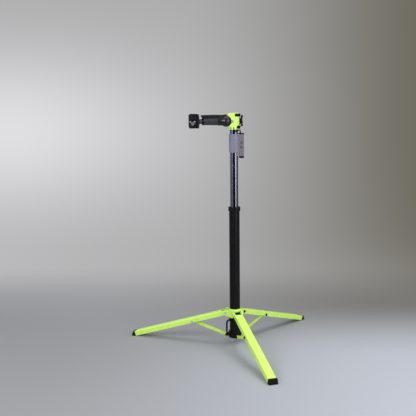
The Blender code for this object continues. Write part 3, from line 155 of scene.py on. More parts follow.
# The legs' headings in degrees, and the bolts, screws and marks
LEG_TURNS = {"left": 167.1, "front": 287.1, "right": 47.1}
PIN_SIDES = {"hub_pin_left": -1, "hub_pin_front": 1, "hub_pin_right": -1,
             "strut_pin_left": -1, "strut_pin_front": -1, "strut_pin_right": -1}
PIN_HEAD = 0.005
PIN_HEAD_RADIUS = 0.008
PIN_RADIUS = 0.004
PIN_KEY = 0.0036
SCREW_KEYS = {"head_front_screw": 0.0035, "jaw_screw_left": 0.0022, "jaw_screw_right": 0.0022}
SCREW_HEADS = {"head_front_screw": 0.003, "jaw_screw_left": 0.0035, "jaw_screw_right": 0.0035}
CROSS_HEAD = 0.0038
CROSS_SHANK = 0.0034
CROSS_KEY = 0.0025
CROSS_KEY_DEPTH = 0.0020
PIVOT_REACH = 0.055
COLLAR_PIVOT = 0.053
COLLAR_PIN_RADIUS = 0.0075
HOUSING_MIDDLE = AXIS[1] + 0.003
HOUSING_SCREW_SIDE = 0.014
HOUSING_SCREW_END = 0.010
SUNK = 0.0002
MARK_SUNK = 0.0001


def camera():
    """The photograph's viewpoint."""
    ahead = Vector((math.sin(CAMERA_TURN) * math.cos(CAMERA_TILT),
                    math.cos(CAMERA_TURN) * math.cos(CAMERA_TILT), -math.sin(CAMERA_TILT)))
    level = Vector((math.cos(CAMERA_TURN), -math.sin(CAMERA_TURN), 0))
    up = level.cross(ahead)
    right = level * math.cos(CAMERA_ROLL) + up * math.sin(CAMERA_ROLL)
    top = up * math.cos(CAMERA_ROLL) - level * math.sin(CAMERA_ROLL)
    turn = Matrix((right, top, -ahead)).transposed()
    lens = bpy.data.cameras.new("camera")
    lens.lens = CAMERA_LENS
    lens.sensor_width = PHOTO_SENSOR
    lens.clip_end = CAMERA_REACH
    holder = bpy.data.objects.new("camera", lens)
    place = Matrix.Translation((AXIS[0], AXIS[1] - CAMERA_BACK, CAMERA_HEIGHT))
    holder.matrix_world = place @ turn.to_4x4()
    bpy.context.scene.collection.objects.link(holder)
    bpy.context.scene.camera = holder


def lamp(name, place, aim, size, power):
    """A soft square lamp at a place, turned to a point."""
    light = bpy.data.lights.new(name, "AREA")
    light.shape = "RECTANGLE"
    light.size, light.size_y = size
    light.energy = power
    holder = bpy.data.objects.new(name, light)
    holder.location = place
    holder.rotation_euler = (Vector(aim) - Vector(place)).to_track_quat("-Z", "Y").to_euler()
    bpy.context.scene.collection.objects.link(holder)


def lights():
    """Large soft lamps above and beside the stand, and an even world."""
    x, y = AXIS
    for name, (place, aim, size, power) in LAMPS.items():
        lamp(name, (x + place[0], y + place[1], place[2]), (x, y, aim), size, power)
    world = bpy.data.worlds.new("studio")
    world.use_nodes = True
    world.node_tree.nodes["Background"].inputs["Color"].default_value = (*WORLD_COLOUR, 1)
    world.node_tree.nodes["Background"].inputs["Strength"].default_value = WORLD_STRENGTH
    bpy.context.scene.world = world
    bpy.context.scene.view_settings.view_transform = "Standard"


def studio():
    """A pale floor that curves up into a backdrop far behind the stand."""
    x, y = AXIS
    shape = bmesh.new()
    angles = [math.pi / 2 * step / BEND_STEPS for step in range(BEND_STEPS + 1)]
    bend = [(STAGE_BACK + STAGE_BEND * math.sin(a), STAGE_BEND * (1 - math.cos(a))) for a in angles]
    profile = [(-STAGE_FRONT, 0.0)] + bend + [(STAGE_BACK + STAGE_BEND, STAGE_HEIGHT)]
    points = [shape.verts.new((x - STAGE_SIDE, y + back, height)) for back, height in profile]
    edges = [shape.edges.new(pair) for pair in zip(points, points[1:])]
    swept = bmesh.ops.extrude_edge_only(shape, edges=edges)
    moved = [v for v in swept["geom"] if isinstance(v, bmesh.types.BMVert)]
    bmesh.ops.translate(shape, vec=(2 * STAGE_SIDE, 0, 0), verts=moved)
    bmesh.ops.recalc_face_normals(shape, faces=shape.faces)
    mesh = bpy.data.meshes.new("studio")
    shape.to_mesh(mesh)
    shape.free()
    mesh.shade_smooth()
    mesh.materials.append(backdrop_paper())
    stage = bpy.data.objects.new("studio", mesh)
    bpy.context.scene.collection.objects.link(stage)


# Small helpers for node trees


def add(tree, kind, sockets=None, **settings):
    """A node with its settings, its sockets set to values or linked to other nodes' outputs."""
    made = tree.nodes.new(kind)
    for setting, value in settings.items():
        setattr(made, setting, value)
    for socket, value in (sockets or {}).items():
        if isinstance(value, bpy.types.NodeSocket):
            tree.links.new(value, made.inputs[socket])
        else:
            made.inputs[socket].default_value = value
    return made


def maths(tree, operation, first, second=0.0, clamp=False):
    """One sum on values or on other nodes' outputs."""
    values = {0: first, 1: second}
    return add(tree, "ShaderNodeMath", values, operation=operation, use_clamp=clamp).outputs[0]


def vector_maths(tree, operation, first, second):
    """One sum on two vectors, each a value or another node's output."""
    return add(tree, "ShaderNodeVectorMath", {0: first, 1: second}, operation=operation).outputs[0]


def spread(tree, value, low, high, new_low=0.0, new_high=1.0):
    """A value taken from one range to another, held inside it."""
    sockets = {"Value": value, "From Min": low, "From Max": high, "To Min": new_low, "To Max": new_high}
    return add(tree, "ShaderNodeMapRange", sockets, interpolation_type="SMOOTHSTEP").outputs[0]


def mixed(tree, factor, first, second, blend="MIX"):
    """Two colours mixed by a mask."""
    mix = add(tree, "ShaderNodeMix", data_type="RGBA", blend_type=blend)
    for socket, value in (("Factor_Float", factor), ("A_Color", first), ("B_Color", second)):
        slot = next(i for i in mix.inputs if i.identifier == socket)
        if isinstance(value, bpy.types.NodeSocket):
            tree.links.new(value, slot)
        else:
            slot.default_value = value if socket == "Factor_Float" else (*value, 1.0)
    return next(o for o in mix.outputs if o.identifier == "Result_Color")


def noise(tree, vector, scale, detail=3.0, rough=0.5):
    """Soft noise, as a value."""
    sockets = {"Vector": vector, "Scale": scale, "Detail": detail, "Roughness": rough}
    return add(tree, "ShaderNodeTexNoise", sockets).outputs[0]


def group(name, inputs, outputs):
    """A named node group with its sockets, and its input and output nodes."""
    tree = bpy.data.node_groups.new(name, "ShaderNodeTree")
    for socket, value in inputs.items():
        kind = "NodeSocketVector" if value is None else "NodeSocketFloat"
        made = tree.interface.new_socket(socket, in_out="INPUT", socket_type=kind)
        if value is not None:
            made.default_value = value
    for socket in outputs:
        tree.interface.new_socket(socket, in_out="OUTPUT", socket_type="NodeSocketFloat")
    return tree, tree.nodes.new("NodeGroupInput").outputs, tree.nodes.new("NodeGroupOutput").inputs


def use(tree, effect, sockets):
    """A node group placed in a material with its values."""
    made = add(tree, "ShaderNodeGroup", node_tree=EFFECTS[effect])
    for socket, value in sockets.items():
        if isinstance(value, bpy.types.NodeSocket):
            tree.links.new(value, made.inputs[socket])
        else:
            made.inputs[socket].default_value = value
    return made.outputs


# Effects that several finishes share

SCUFF_TURNS = (0.5, 2.1)
SCUFF_STRETCH = (1.0, 14.0, 5.0)


def edge_rub_and_highlight_effect():
    """A mask that is 1 on edges, broken up by noise, for rubbed paint and a painted highlight there."""
    tree, given, out = group("edge_rub_and_highlight", {"Vector": None, "Width": 0.0012, "Breakup": 140.0}, ["Mask"])
    rounded = add(tree, "ShaderNodeBevel", {"Radius": given["Width"]}, samples=4)
    true = add(tree, "ShaderNodeNewGeometry").outputs["True Normal"]
    likeness = add(tree, "ShaderNodeVectorMath", {0: rounded.outputs[0], 1: true}, operation="DOT_PRODUCT")
    edge = spread(tree, likeness.outputs["Value"], 0.965, 0.86)
    broken = spread(tree, noise(tree, given["Vector"], given["Breakup"], 4.0, 0.6), 0.38, 0.62)
    tree.links.new(maths(tree, "MULTIPLY", edge, broken), out["Mask"])
    return tree


def grain_effect():
    """Fine moulded or sprayed grain, as a height, and a slower mottle of the same surface."""
    inputs = {"Vector": None, "Scale": 900.0, "Mottle": 35.0}
    tree, given, out = group("grain", inputs, ["Height", "Patches"])
    fine = noise(tree, given["Vector"], given["Scale"], 2.0, 0.55)
    slow = noise(tree, given["Vector"], given["Mottle"], 4.0, 0.6)
    tree.links.new(fine, out["Height"])
    tree.links.new(spread(tree, slow, 0.3, 0.7), out["Patches"])
    return tree


def drawn_effect():
    """Fine lines along one way, as on extruded, drawn or brushed metal."""
    inputs = {"Vector": None, "Across": 700.0, "Along": 3.0}
    tree, given, out = group("drawn_lines", inputs, ["Height", "Streaks"])
    split = add(tree, "ShaderNodeSeparateXYZ", {0: given["Vector"]}).outputs
    across = [maths(tree, "MULTIPLY", split[i], given["Across"]) for i in (0, 1)]
    along = maths(tree, "MULTIPLY", split[2], given["Along"])
    joined = add(tree, "ShaderNodeCombineXYZ", {0: across[0], 1: across[1], 2: along}).outputs[0]
    tree.links.new(noise(tree, joined, 1.0, 3.0, 0.6), out["Height"])
    wide = add(tree, "ShaderNodeVectorMath", {0: joined, "Scale": 0.12}, operation="SCALE").outputs[0]
    tree.links.new(spread(tree, noise(tree, wide, 1.0, 3.0, 0.6), 0.35, 0.65), out["Streaks"])
    return tree


def dust_effect():
    """Dust that settles on faces that look up, and more of it near the floor."""
    tree, given, out = group("dust", {"Vector": None, "Reach": 0.30, "Amount": 1.0}, ["Mask"])
    normal = add(tree, "ShaderNodeNewGeometry").outputs["Normal"]
    up = add(tree, "ShaderNodeSeparateXYZ", {0: normal}).outputs[2]
    height = add(tree, "ShaderNodeSeparateXYZ", {0: given["Vector"]}).outputs[2]
    low = spread(tree, height, given["Reach"], 0.0, 0.35, 1.0)
    laid = spread(tree, up, 0.1, 0.95, 0.15, 1.0)
    specks = spread(tree, noise(tree, given["Vector"], 260.0, 5.0, 0.7), 0.42, 0.75)
    patches = spread(tree, noise(tree, given["Vector"], 18.0, 3.0, 0.6), 0.3, 0.7, 0.3, 1.0)
    where = maths(tree, "MULTIPLY", low, laid)
    broken = maths(tree, "MULTIPLY", specks, patches)
    mask = maths(tree, "MULTIPLY", where, broken)
    tree.links.new(maths(tree, "MULTIPLY", mask, given["Amount"], clamp=True), out["Mask"])
    return tree


def scuff_effect():
    """Short thin scratches in two directions, few and faint."""
    tree, given, out = group("scuffs", {"Vector": None, "Scale": 40.0, "Share": 0.5}, ["Mask"])
    found = []
    for turn in SCUFF_TURNS:
        leaned = add(tree, "ShaderNodeVectorRotate", {"Vector": given["Vector"], "Angle": turn},
                     rotation_type="AXIS_ANGLE").outputs[0]
        drawn = vector_maths(tree, "MULTIPLY", leaned, SCUFF_STRETCH)
        found.append(spread(tree, noise(tree, drawn, given["Scale"], 2.0, 0.5), 0.70, 0.74))
    both = maths(tree, "MAXIMUM", *found)
    tree.links.new(maths(tree, "MULTIPLY", both, given["Share"]), out["Mask"])
    return tree


EFFECTS = {"edge_rub_and_highlight": edge_rub_and_highlight_effect(), "grain": grain_effect(), "drawn": drawn_effect(),
           "dust": dust_effect(), "scuffs": scuff_effect()}


# Finishes, with the edge between the housing's painted bluish and warm light, the depth of a rubber rib,
# and the colour of painted shade inside bores

PAINTED_LIGHT_EDGE = (AXIS[0] + 0.022, AXIS[0] + 0.030)
RIB_DEPTH = 0.0009
BORE_PAINTED_SHADE = (0.004, 0.004, 0.005)


def surface(name):
    """An empty Principled material: its tree, its shader and its Object coordinates."""
    made = bpy.data.materials.new(name)
    made.use_nodes = True
    tree = made.node_tree
    coords = add(tree, "ShaderNodeTexCoord").outputs["Object"]
    return made, tree, tree.nodes["Principled BSDF"], coords


def bump(tree, shader, height, distance):
    """Relief of a given depth on a shader."""
    made = add(tree, "ShaderNodeBump", {"Height": height, "Distance": distance, "Strength": 1.0})
    tree.links.new(made.outputs[0], shader.inputs["Normal"])


def coated(name, colour, rub_and_highlight_colour, rough, grain=900.0, depth=0.00004, rub_and_highlight_share=0.5, dust=0.25, coat=0.0, scuff=0.4,
           gloss=0.5, painted_bluish_light=None, ribs=None):
    """A sprayed or moulded finish with fine grain, edges lightened as rubbed paint and painted highlight,
    scuffs and a little dust.

    An optional second colour is painted bluish light on the side left of the light edge; ribs is the height
    of one level rib.
    """
    made, tree, shader, coords = surface(name)
    texture = use(tree, "grain", {"Vector": coords, "Scale": grain})
    edge = use(tree, "edge_rub_and_highlight", {"Vector": coords})["Mask"]
    scuffs = use(tree, "scuffs", {"Vector": coords, "Share": scuff})["Mask"]
    dusty = use(tree, "dust", {"Vector": coords, "Amount": dust})["Mask"]
    shade = tuple(c * 0.90 for c in colour)
    base = mixed(tree, texture["Patches"], shade, colour)
    parts = add(tree, "ShaderNodeSeparateXYZ", {0: coords}).outputs
    # Left of the light edge the colour is painted bluish light.
    if painted_bluish_light:
        base = mixed(tree, spread(tree, parts["X"], *PAINTED_LIGHT_EDGE), painted_bluish_light, base)
    # Edges and scuffs take a lighter colour: scuffs as rubbed paint, edges as rubbed paint and painted
    # highlight.
    base = mixed(tree, maths(tree, "MULTIPLY", maths(tree, "MAXIMUM", edge, scuffs), rub_and_highlight_share), base, rub_and_highlight_colour)
    base = mixed(tree, dusty, base, DUST)
    tree.links.new(base, shader.inputs["Base Color"])
    patchy = spread(tree, texture["Patches"], 0.0, 1.0, rough - 0.05, rough + 0.07)
    tree.links.new(maths(tree, "ADD", patchy, maths(tree, "MULTIPLY", dusty, 0.4), clamp=True),
                   shader.inputs["Roughness"])
    shader.inputs["Specular IOR Level"].default_value = gloss
    shader.inputs["Coat Weight"].default_value = coat
    shader.inputs["Coat Roughness"].default_value = 0.15
    height = texture["Height"]
    if ribs:
        wave = maths(tree, "SINE", maths(tree, "MULTIPLY", parts["Z"], 2 * math.pi / ribs))
        height = maths(tree, "ADD", maths(tree, "MULTIPLY", height, 0.2), spread(tree, wave, -0.2, 0.6))
        depth = RIB_DEPTH
    bump(tree, shader, height, depth)
    return made


def metal(name, colour, rough, across=700.0, along=3.0, depth=0.00002, metallic=1.0,
          rub_and_highlight_colour=(0.75, 0.75, 0.76), shaded_bore_radius=None):
    """Bare or anodised metal with fine lines along Z, smudges, edges lightened as rubbed metal and painted
    highlight, and a bore painted black up to a radius as painted shade.
    """
    made, tree, shader, coords = surface(name)
    lines = use(tree, "drawn", {"Vector": coords, "Across": across, "Along": along})
    smudge = use(tree, "grain", {"Vector": coords, "Mottle": 22.0})["Patches"]
    edge = use(tree, "edge_rub_and_highlight", {"Vector": coords})["Mask"]
    shade = tuple(c * 0.86 for c in colour)
    base = mixed(tree, lines["Streaks"], shade, colour)
    # Edges take a lighter colour as rubbed metal and painted highlight.
    base = mixed(tree, maths(tree, "MULTIPLY", edge, 0.5), base, rub_and_highlight_colour)
    # Inside the given radius the bore is painted black as shade.
    if shaded_bore_radius:
        centred = vector_maths(tree, "SUBTRACT", coords, (*AXIS, 0))
        flat = vector_maths(tree, "MULTIPLY", centred, (1, 1, 0))
        radius = add(tree, "ShaderNodeVectorMath", {0: flat}, operation="LENGTH").outputs["Value"]
        base = mixed(tree, spread(tree, radius, shaded_bore_radius + 0.0005, shaded_bore_radius + 0.0020), BORE_PAINTED_SHADE, base)
    tree.links.new(base, shader.inputs["Base Color"])
    shader.inputs["Metallic"].default_value = metallic
    low, high = rough - 0.06, rough + 0.08
    dull = spread(tree, maths(tree, "MULTIPLY", lines["Streaks"], smudge), 0.0, 0.8, low, high)
    tree.links.new(dull, shader.inputs["Roughness"])
    bump(tree, shader, lines["Height"], depth)
    return made


def backdrop_paper():
    """The studio's pale floor and its backdrop, painted with light and shade: their tones change from left
    to right, and the far wall emits a painted pool of light, falling off towards the right, to camera and
    glossy rays.
    """
    made, tree, shader, coords = surface("studio_paper")
    moved = {"Vector": coords, "Location": (-AXIS[0], -AXIS[1], 0)}
    placed = add(tree, "ShaderNodeMapping", moved).outputs[0]
    side, deep, high = add(tree, "ShaderNodeSeparateXYZ", {0: placed}).outputs
    far = spread(tree, deep, *WALL_DEPTH)
    rightward = spread(tree, side, *STAGE_SPREAD)
    # Floor and back tones that change from left to right are painted light and shade.
    floor = mixed(tree, rightward, FLOOR_LEFT, FLOOR_RIGHT)
    back = mixed(tree, rightward, BACK_LEFT, BACK_RIGHT)
    tree.links.new(mixed(tree, spread(tree, deep, *BACK_DEPTH), floor, back), shader.inputs["Base Color"])
    shader.inputs["Roughness"].default_value = 0.85
    bump(tree, shader, noise(tree, coords, 400.0, 2.0), 0.0001)
    # The far wall emits a painted pool of light to camera and glossy rays.
    wall = mixed(tree, spread(tree, side, *WALL_SPREAD), WALL_LEFT, WALL_RIGHT)
    across = maths(tree, "DIVIDE", maths(tree, "SUBTRACT", side, PAINTED_GLOW_SPOT[0]), PAINTED_GLOW_REACH[0])
    along = maths(tree, "DIVIDE", maths(tree, "SUBTRACT", high, PAINTED_GLOW_SPOT[1]), PAINTED_GLOW_REACH[1])
    squares = [maths(tree, "MULTIPLY", way, way) for way in (across, along)]
    distance = maths(tree, "ADD", *squares)
    painted_glow = maths(tree, "EXPONENT", maths(tree, "MULTIPLY", distance, -1.0))
    painted_wall_light = add(tree, "ShaderNodeEmission", {"Color": mixed(tree, painted_glow, wall, PAINTED_WALL_GLOW)}).outputs[0]
    rays = add(tree, "ShaderNodeLightPath").outputs
    seen = maths(tree, "MAXIMUM", rays["Is Camera Ray"], rays["Is Glossy Ray"])
    mask = maths(tree, "MULTIPLY", seen, far)
    shown = add(tree, "ShaderNodeMixShader", {0: mask, 1: shader.outputs[0], 2: painted_wall_light})
    out = next(node for node in tree.nodes if node.type == "OUTPUT_MATERIAL")
    tree.links.new(shown.outputs[0], out.inputs["Surface"])
    return made


DUST = (0.42, 0.40, 0.37)
# Lime and soot take lighter edge colours, partly rubbed paint and partly painted highlight.
LIME = (0.60, 0.92, 0.13)
LIME_RUB_AND_HIGHLIGHT = (0.80, 0.97, 0.45)
SOOT = (0.0035, 0.0035, 0.0040)
SOOT_RUB_AND_HIGHLIGHT = (0.02, 0.02, 0.02)
FINISHES = {
    "lime_paint": coated("lime_powder_coat", LIME, LIME_RUB_AND_HIGHLIGHT, 0.36, grain=1100.0, depth=0.00003, rub_and_highlight_share=0.35,
                         dust=0.06, coat=0.25, scuff=0.15),
    "black_metal": coated("black_powder_coat", (0.0035, 0.0035, 0.0038), (0.030, 0.030, 0.033), 0.34,
                          grain=1400.0, depth=0.00002, rub_and_highlight_share=0.5, dust=0.02, scuff=0.12, gloss=0.16),
    "black_plastic": coated("black_moulding", (0.0045, 0.0045, 0.0050), (0.025, 0.025, 0.028), 0.40,
                            grain=1000.0, depth=0.00005, rub_and_highlight_share=0.4, dust=0.02, scuff=0.12, gloss=0.14),
    "mast_aluminium": metal("anodised_mast", (0.20, 0.20, 0.26), 0.40),
    # The mast tube's bore is painted black as shade.
    "inner_mast": metal("anodised_mast_tube", (0.18, 0.18, 0.235), 0.34, shaded_bore_radius=0.0220),
    "arm_lacquer": coated("arm_lacquer", (0.005, 0.005, 0.006), (0.03, 0.03, 0.033), 0.18, grain=1500.0,
                          depth=0.00001, rub_and_highlight_share=0.4, dust=0.02, scuff=0.08),
    "arm_tube": metal("dark_anodised_tube", (0.085, 0.083, 0.102), 0.24, across=500.0, along=500.0,
                      depth=0.00001, metallic=0.85, rub_and_highlight_colour=(0.12, 0.12, 0.13)),
    # The housing is one gray painted as two lights: pinkish as warm light on its right, bluish as painted
    # light on its left and front.
    "housing_gray": coated("gray_housing", (0.165, 0.145, 0.165), (0.32, 0.31, 0.34), 0.42, grain=800.0,
                           depth=0.00003, rub_and_highlight_share=0.4, dust=0.04, gloss=0.3, painted_bluish_light=(0.185, 0.185, 0.245)),
    "bright_steel": metal("plated_steel", (0.80, 0.80, 0.82), 0.24, across=400.0, along=400.0,
                          depth=0.00001),
    "rubber": coated("black_rubber", SOOT, SOOT_RUB_AND_HIGHLIGHT, 0.72, grain=700.0, depth=0.0001, rub_and_highlight_share=0.3, dust=0.03,
                     gloss=0.10),
    "ribbed_rubber": coated("ribbed_rubber", SOOT, SOOT_RUB_AND_HIGHLIGHT, 0.66, grain=700.0, depth=0.0001, rub_and_highlight_share=0.3,
                            dust=0.03, gloss=0.14, ribs=0.0042),
    "red_anodised": metal("red_anodised", (0.10, 0.003, 0.010), 0.34),
    "white_nylon": coated("white_nylon", (0.72, 0.72, 0.68), (0.8, 0.8, 0.78), 0.45, depth=0.00002,
                          rub_and_highlight_share=0.2, dust=0.1),
}


def dress_nodes():
    """Gives every CAD node the finish of its slot."""
    for part in frame["record"]["subparts"]:
        held = frame["nodes"][part["node"]]
        held.data.materials.clear()
        held.data.materials.append(FINISHES[part["material_slot"]])


# Pieces

JOIN = 0.000005
SPUN_JOIN = 0.000001
FLAT = math.radians(0.4)


def merged(node):
    """A copy of a CAD node's shape, its loose triangles joined and its flat faces made whole."""
    shape = bmesh.new()
    shape.from_mesh(frame["nodes"][node].data)
    bmesh.ops.remove_doubles(shape, verts=shape.verts, dist=JOIN)
    bmesh.ops.dissolve_limit(shape, angle_limit=FLAT, verts=shape.verts, edges=shape.edges)
    return shape


def piece(name, shape, body, slot, turn=SHARP, finish=None):
    """A piece with smooth curves and edges that are sharp past a turn, riding on its body."""
    for face in shape.faces:
        face.smooth = True
    for edge in shape.edges:
        edge.smooth = len(edge.link_faces) == 2 and edge.calc_face_angle(0) < math.radians(turn)
    mesh = bpy.data.meshes.new(name)
    shape.to_mesh(mesh)
    shape.free()
    mesh.materials.append(FINISHES[finish or slot])
    made = bpy.data.objects.new(name, mesh)
    bpy.context.scene.collection.objects.link(made)
    made.modifiers.new("even_shading", "WEIGHTED_NORMAL").keep_sharp = True
    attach(made, body)
    return made


def refined(node, turn=SHARP):
    """The smooth piece that stands for a CAD node of the same shape."""
    made = piece(f"{node}_finished", merged(node), BODY_OF[node], SLOT_OF[node], turn, FINISH_OF.get(node))
    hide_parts(node)
    return made


def turned(profile, steps=SMOOTH):
    """A profile of (radius, height) spun round Z; one that starts off the axis is a closed section."""
    shape = bmesh.new()
    points = [shape.verts.new((radius, 0, height)) for radius, height in profile]
    pairs = zip(points, points[1:] + points[:1] * (profile[0][0] > 0))
    edges = [shape.edges.new(pair) for pair in pairs]
    bmesh.ops.spin(shape, geom=points + edges, cent=(0, 0, 0), axis=(0, 0, 1), angle=2 * math.pi,
                   steps=steps, use_merge=True)
    bmesh.ops.remove_doubles(shape, verts=shape.verts, dist=SPUN_JOIN)
    bmesh.ops.recalc_face_normals(shape, faces=shape.faces)
    return shape


def aimed(shape, centre, axis):
    """A shape made along Z, turned to an axis and moved to a point."""
    turn = Vector(axis).to_track_quat("Z", "Y").to_matrix().to_4x4()
    bmesh.ops.transform(shape, matrix=Matrix.Translation(centre) @ turn, verts=shape.verts)
    return shape


def gathered(*shapes):
    """Several shapes in one."""
    whole = bmesh.new()
    for shape in shapes:
        mesh = bpy.data.meshes.new("gathered")
        shape.to_mesh(mesh)
        shape.free()
        whole.from_mesh(mesh)
        bpy.data.meshes.remove(mesh)
    return whole


def socket_screw(radius, head, key, depth, shank_radius, shank):
    """A socket screw: its shank goes down from zero, its rounded head up, with a hexagon in its top."""
    edge = head * 0.22
    low = [(0, -shank), (shank_radius, -shank), (shank_radius, 0)] if shank else [(0, 0)]
    shape = turned(low + [(radius, 0), (radius, head - edge), (radius - edge * 0.3, head - edge * 0.3),
                          (radius - edge, head), (key * 1.12, head)], SCREW_ROUND)
    rim = [edge for edge in shape.edges if edge.is_boundary]
    made = bmesh.ops.create_circle(shape, segments=6, radius=key)
    bmesh.ops.translate(shape, vec=(0, 0, head), verts=made["verts"])
    sides = [edge for edge in shape.edges if edge.is_wire]
    bmesh.ops.subdivide_edges(shape, edges=sides, cuts=SCREW_ROUND // 6 - 1)
    sides = [edge for edge in shape.edges if edge.is_wire]
    bmesh.ops.bridge_loops(shape, edges=rim + sides)
    wall = bmesh.ops.extrude_edge_only(shape, edges=[edge for edge in shape.edges if edge.is_boundary])
    low_ring = [part for part in wall["geom"] if isinstance(part, bmesh.types.BMVert)]
    bmesh.ops.translate(shape, vec=(0, 0, -depth), verts=low_ring)
    bmesh.ops.holes_fill(shape, edges=[edge for edge in shape.edges if edge.is_boundary])
    bmesh.ops.recalc_face_normals(shape, faces=shape.faces)
    return shape


def lock_nut(radius, height, bolt_radius):
    """A hexagon nut with chamfered corners, a raised collar and the bolt's end in it."""
    shape = bmesh.new()
    flats = height * 0.72
    bmesh.ops.create_cone(shape, cap_ends=True, segments=6, radius1=radius, radius2=radius, depth=flats)
    bmesh.ops.translate(shape, vec=(0, 0, height * 0.36), verts=shape.verts)
    corners = [edge for edge in shape.edges if edge.verts[0].co.z == edge.verts[1].co.z]
    bmesh.ops.bevel(shape, geom=corners, offset=height * 0.10, segments=2, profile=0.5, affect="EDGES",
                    material=-1)
    inner, foot = bolt_radius * 1.06, height * 0.66
    end = [(inner, height), (inner, height * 0.9), (bolt_radius * 0.9, height * 0.9),
           (bolt_radius * 0.75, height * 0.97), (0, height * 0.97)]
    outside = [(0, foot), (radius * 0.74, foot), (radius * 0.74, height * 0.84), (radius * 0.66, height)]
    collar = turned(outside + end, SCREW_ROUND)
    return gathered(shape, collar)


def node_points(node):
    """The corners of a CAD node."""
    return [vert.co for vert in frame["nodes"][node].data.vertices]


def middle(node):
    """The middle of a CAD node's box."""
    low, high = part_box(node)
    return Vector([(a + b) / 2 for a, b in zip(low, high)])


def pivot_bolts():
    """Black screws with bright lock nuts through the hub's ears and the legs."""
    for node, side in PIN_SIDES.items():
        heading = math.radians(LEG_TURNS[node.split("_")[-1]] + 90)
        axis = Vector((math.cos(heading), math.sin(heading), 0)) * side
        centre = middle(node)
        reach = max((point - centre).dot(axis) for point in node_points(node))
        seat = reach - PIN_HEAD
        screw = socket_screw(PIN_HEAD_RADIUS, PIN_HEAD, PIN_KEY, PIN_HEAD * 0.55, PIN_RADIUS, 2 * seat)
        screw = aimed(screw, centre + axis * seat, axis)
        made = piece(f"{node}_screw", screw, BODY_OF[node], "black_metal", SCREW_TURN)
        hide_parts(node)
        nut = aimed(lock_nut(PIN_HEAD_RADIUS, PIN_HEAD, PIN_RADIUS), centre - axis * seat, -axis)
        piece(f"{node}_nut", nut, BODY_OF[node], "bright_steel", NUT_TURN)


def column_tubes():
    """The black outer tube, its crown and the stop ring, turned with rounded ends."""
    low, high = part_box("outer_tube")
    radius, foot, top = (high[0] - low[0]) / 2, low[2], high[2]
    at_column("outer_tube", [(TUBE_BORE, foot), (radius - TUBE_EDGE, foot), (radius, foot + TUBE_EDGE),
                             (radius, top - TUBE_EDGE), (radius - TUBE_EDGE, top), (TUBE_BORE, top)])
    bore = radius + FIT_GAP
    low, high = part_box("tube_crown")
    wide, foot, top = (high[0] - low[0]) / 2, low[2], high[2]
    waist = wide - CROWN_GROOVE
    outside = [(bore, foot), (wide - CROWN_EDGE, foot), (wide, foot + CROWN_EDGE), (wide, foot + 0.0045),
               (waist, foot + 0.0052), (waist, foot + 0.0060), (wide, foot + CROWN_THICK)]
    angles = [math.pi / 2 * step / CROWN_STEPS for step in range(CROWN_STEPS + 1)]
    shoulder = [(wide - CROWN_ROUND * (1 - math.cos(a)), top - CROWN_ROUND * (1 - math.sin(a)))
                for a in angles]
    inside = [(CROWN_STEP + CROWN_EDGE, top), (CROWN_STEP, top - CROWN_EDGE),
              (CROWN_STEP, top - CROWN_THICK), (bore, top - CROWN_THICK)]
    at_column("tube_crown", outside + shoulder + inside)
    low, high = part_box("stop_ring")
    wide, foot, top = (high[0] - low[0]) / 2, low[2], high[2]
    at_column("stop_ring", [(bore, foot), (wide - RING_EDGE, foot), (wide, foot + RING_EDGE),
                            (wide, top - RING_EDGE), (wide - RING_EDGE, top), (bore, top)])


def at_column(node, profile):
    """A profile of (radius, height) turned round the column's axis in place of its node."""
    shape = turned(profile)
    bmesh.ops.translate(shape, vec=(*AXIS, 0), verts=shape.verts)
    made = piece(f"{node}_finished", shape, BODY_OF[node], SLOT_OF[node])
    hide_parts(node)


def on_arm(node, profile, turn=SHARP):
    """A profile of (radius, x) turned round the arm's axis in place of its node."""
    shape = aimed(turned(profile), (0, AXIS[1], ARM_HEIGHT), (1, 0, 0))
    made = piece(f"{node}_finished", shape, BODY_OF[node], SLOT_OF[node], turn, FINISH_OF.get(node))
    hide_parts(node)


def arm_turnings():
    """The tapered arm tube, the grooved end ring and the threaded neck."""
    low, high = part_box("arm_tube")
    wide, left, right = (high[2] - low[2]) / 2, low[0], high[0]
    narrow = wide - ARM_TAPER
    on_arm("arm_tube", [(ARM_BORE, left), (narrow - ARM_EDGE, left), (narrow, left + ARM_EDGE),
                        (wide, ARM_SHOULDER), (wide, right - ARM_EDGE), (wide - ARM_EDGE, right),
                        (ARM_BORE, right)])
    tube_end = left + FIT_GAP
    low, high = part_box("arm_end_ring")
    wide, left, right = (high[2] - low[2]) / 2, low[0], high[0]
    bore, floor = NECK_CORE + FIT_GAP, wide - GROOVE_DEPTH
    grooves = []
    for number in range(GROOVES):
        start = left + GROOVE_PITCH * (number + 1)
        grooves += [(wide, start), (floor, start + 0.0003), (floor, start + 0.0009), (wide, start + 0.0012)]
    rim = [(bore, left), (wide - END_EDGE, left), (wide, left + END_EDGE)]
    back = [(wide, right - END_EDGE), (wide - END_EDGE, right), (bore, right)]
    on_arm("arm_end_ring", rim + grooves + back, turn=40.0)
    low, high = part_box("clamp_neck")
    wide, left, right = (high[2] - low[2]) / 2, low[0], high[0]
    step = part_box("adjust_ring")[0][0] - FIT_GAP
    thread, start = [], left + THREAD_START
    while start + THREAD_PITCH < step - THREAD_END:
        thread += [(wide - THREAD_DEPTH, start), (wide, start + THREAD_PITCH * 0.4),
                   (wide, start + THREAD_PITCH * 0.55)]
        start += THREAD_PITCH
    rim = [(ROD_HOLE, left), (wide - NECK_EDGE, left), (wide, left + NECK_EDGE), (wide, left + NECK_PLAIN)]
    core = [(wide, step - NECK_EDGE), (wide - NECK_EDGE, step), (NECK_CORE, step), (NECK_CORE, tube_end)]
    held = [(ARM_BORE - FIT_GAP, tube_end), (ARM_BORE - FIT_GAP, right), (ROD_HOLE, right)]
    on_arm("clamp_neck", rim + thread + core + held, turn=30.0)


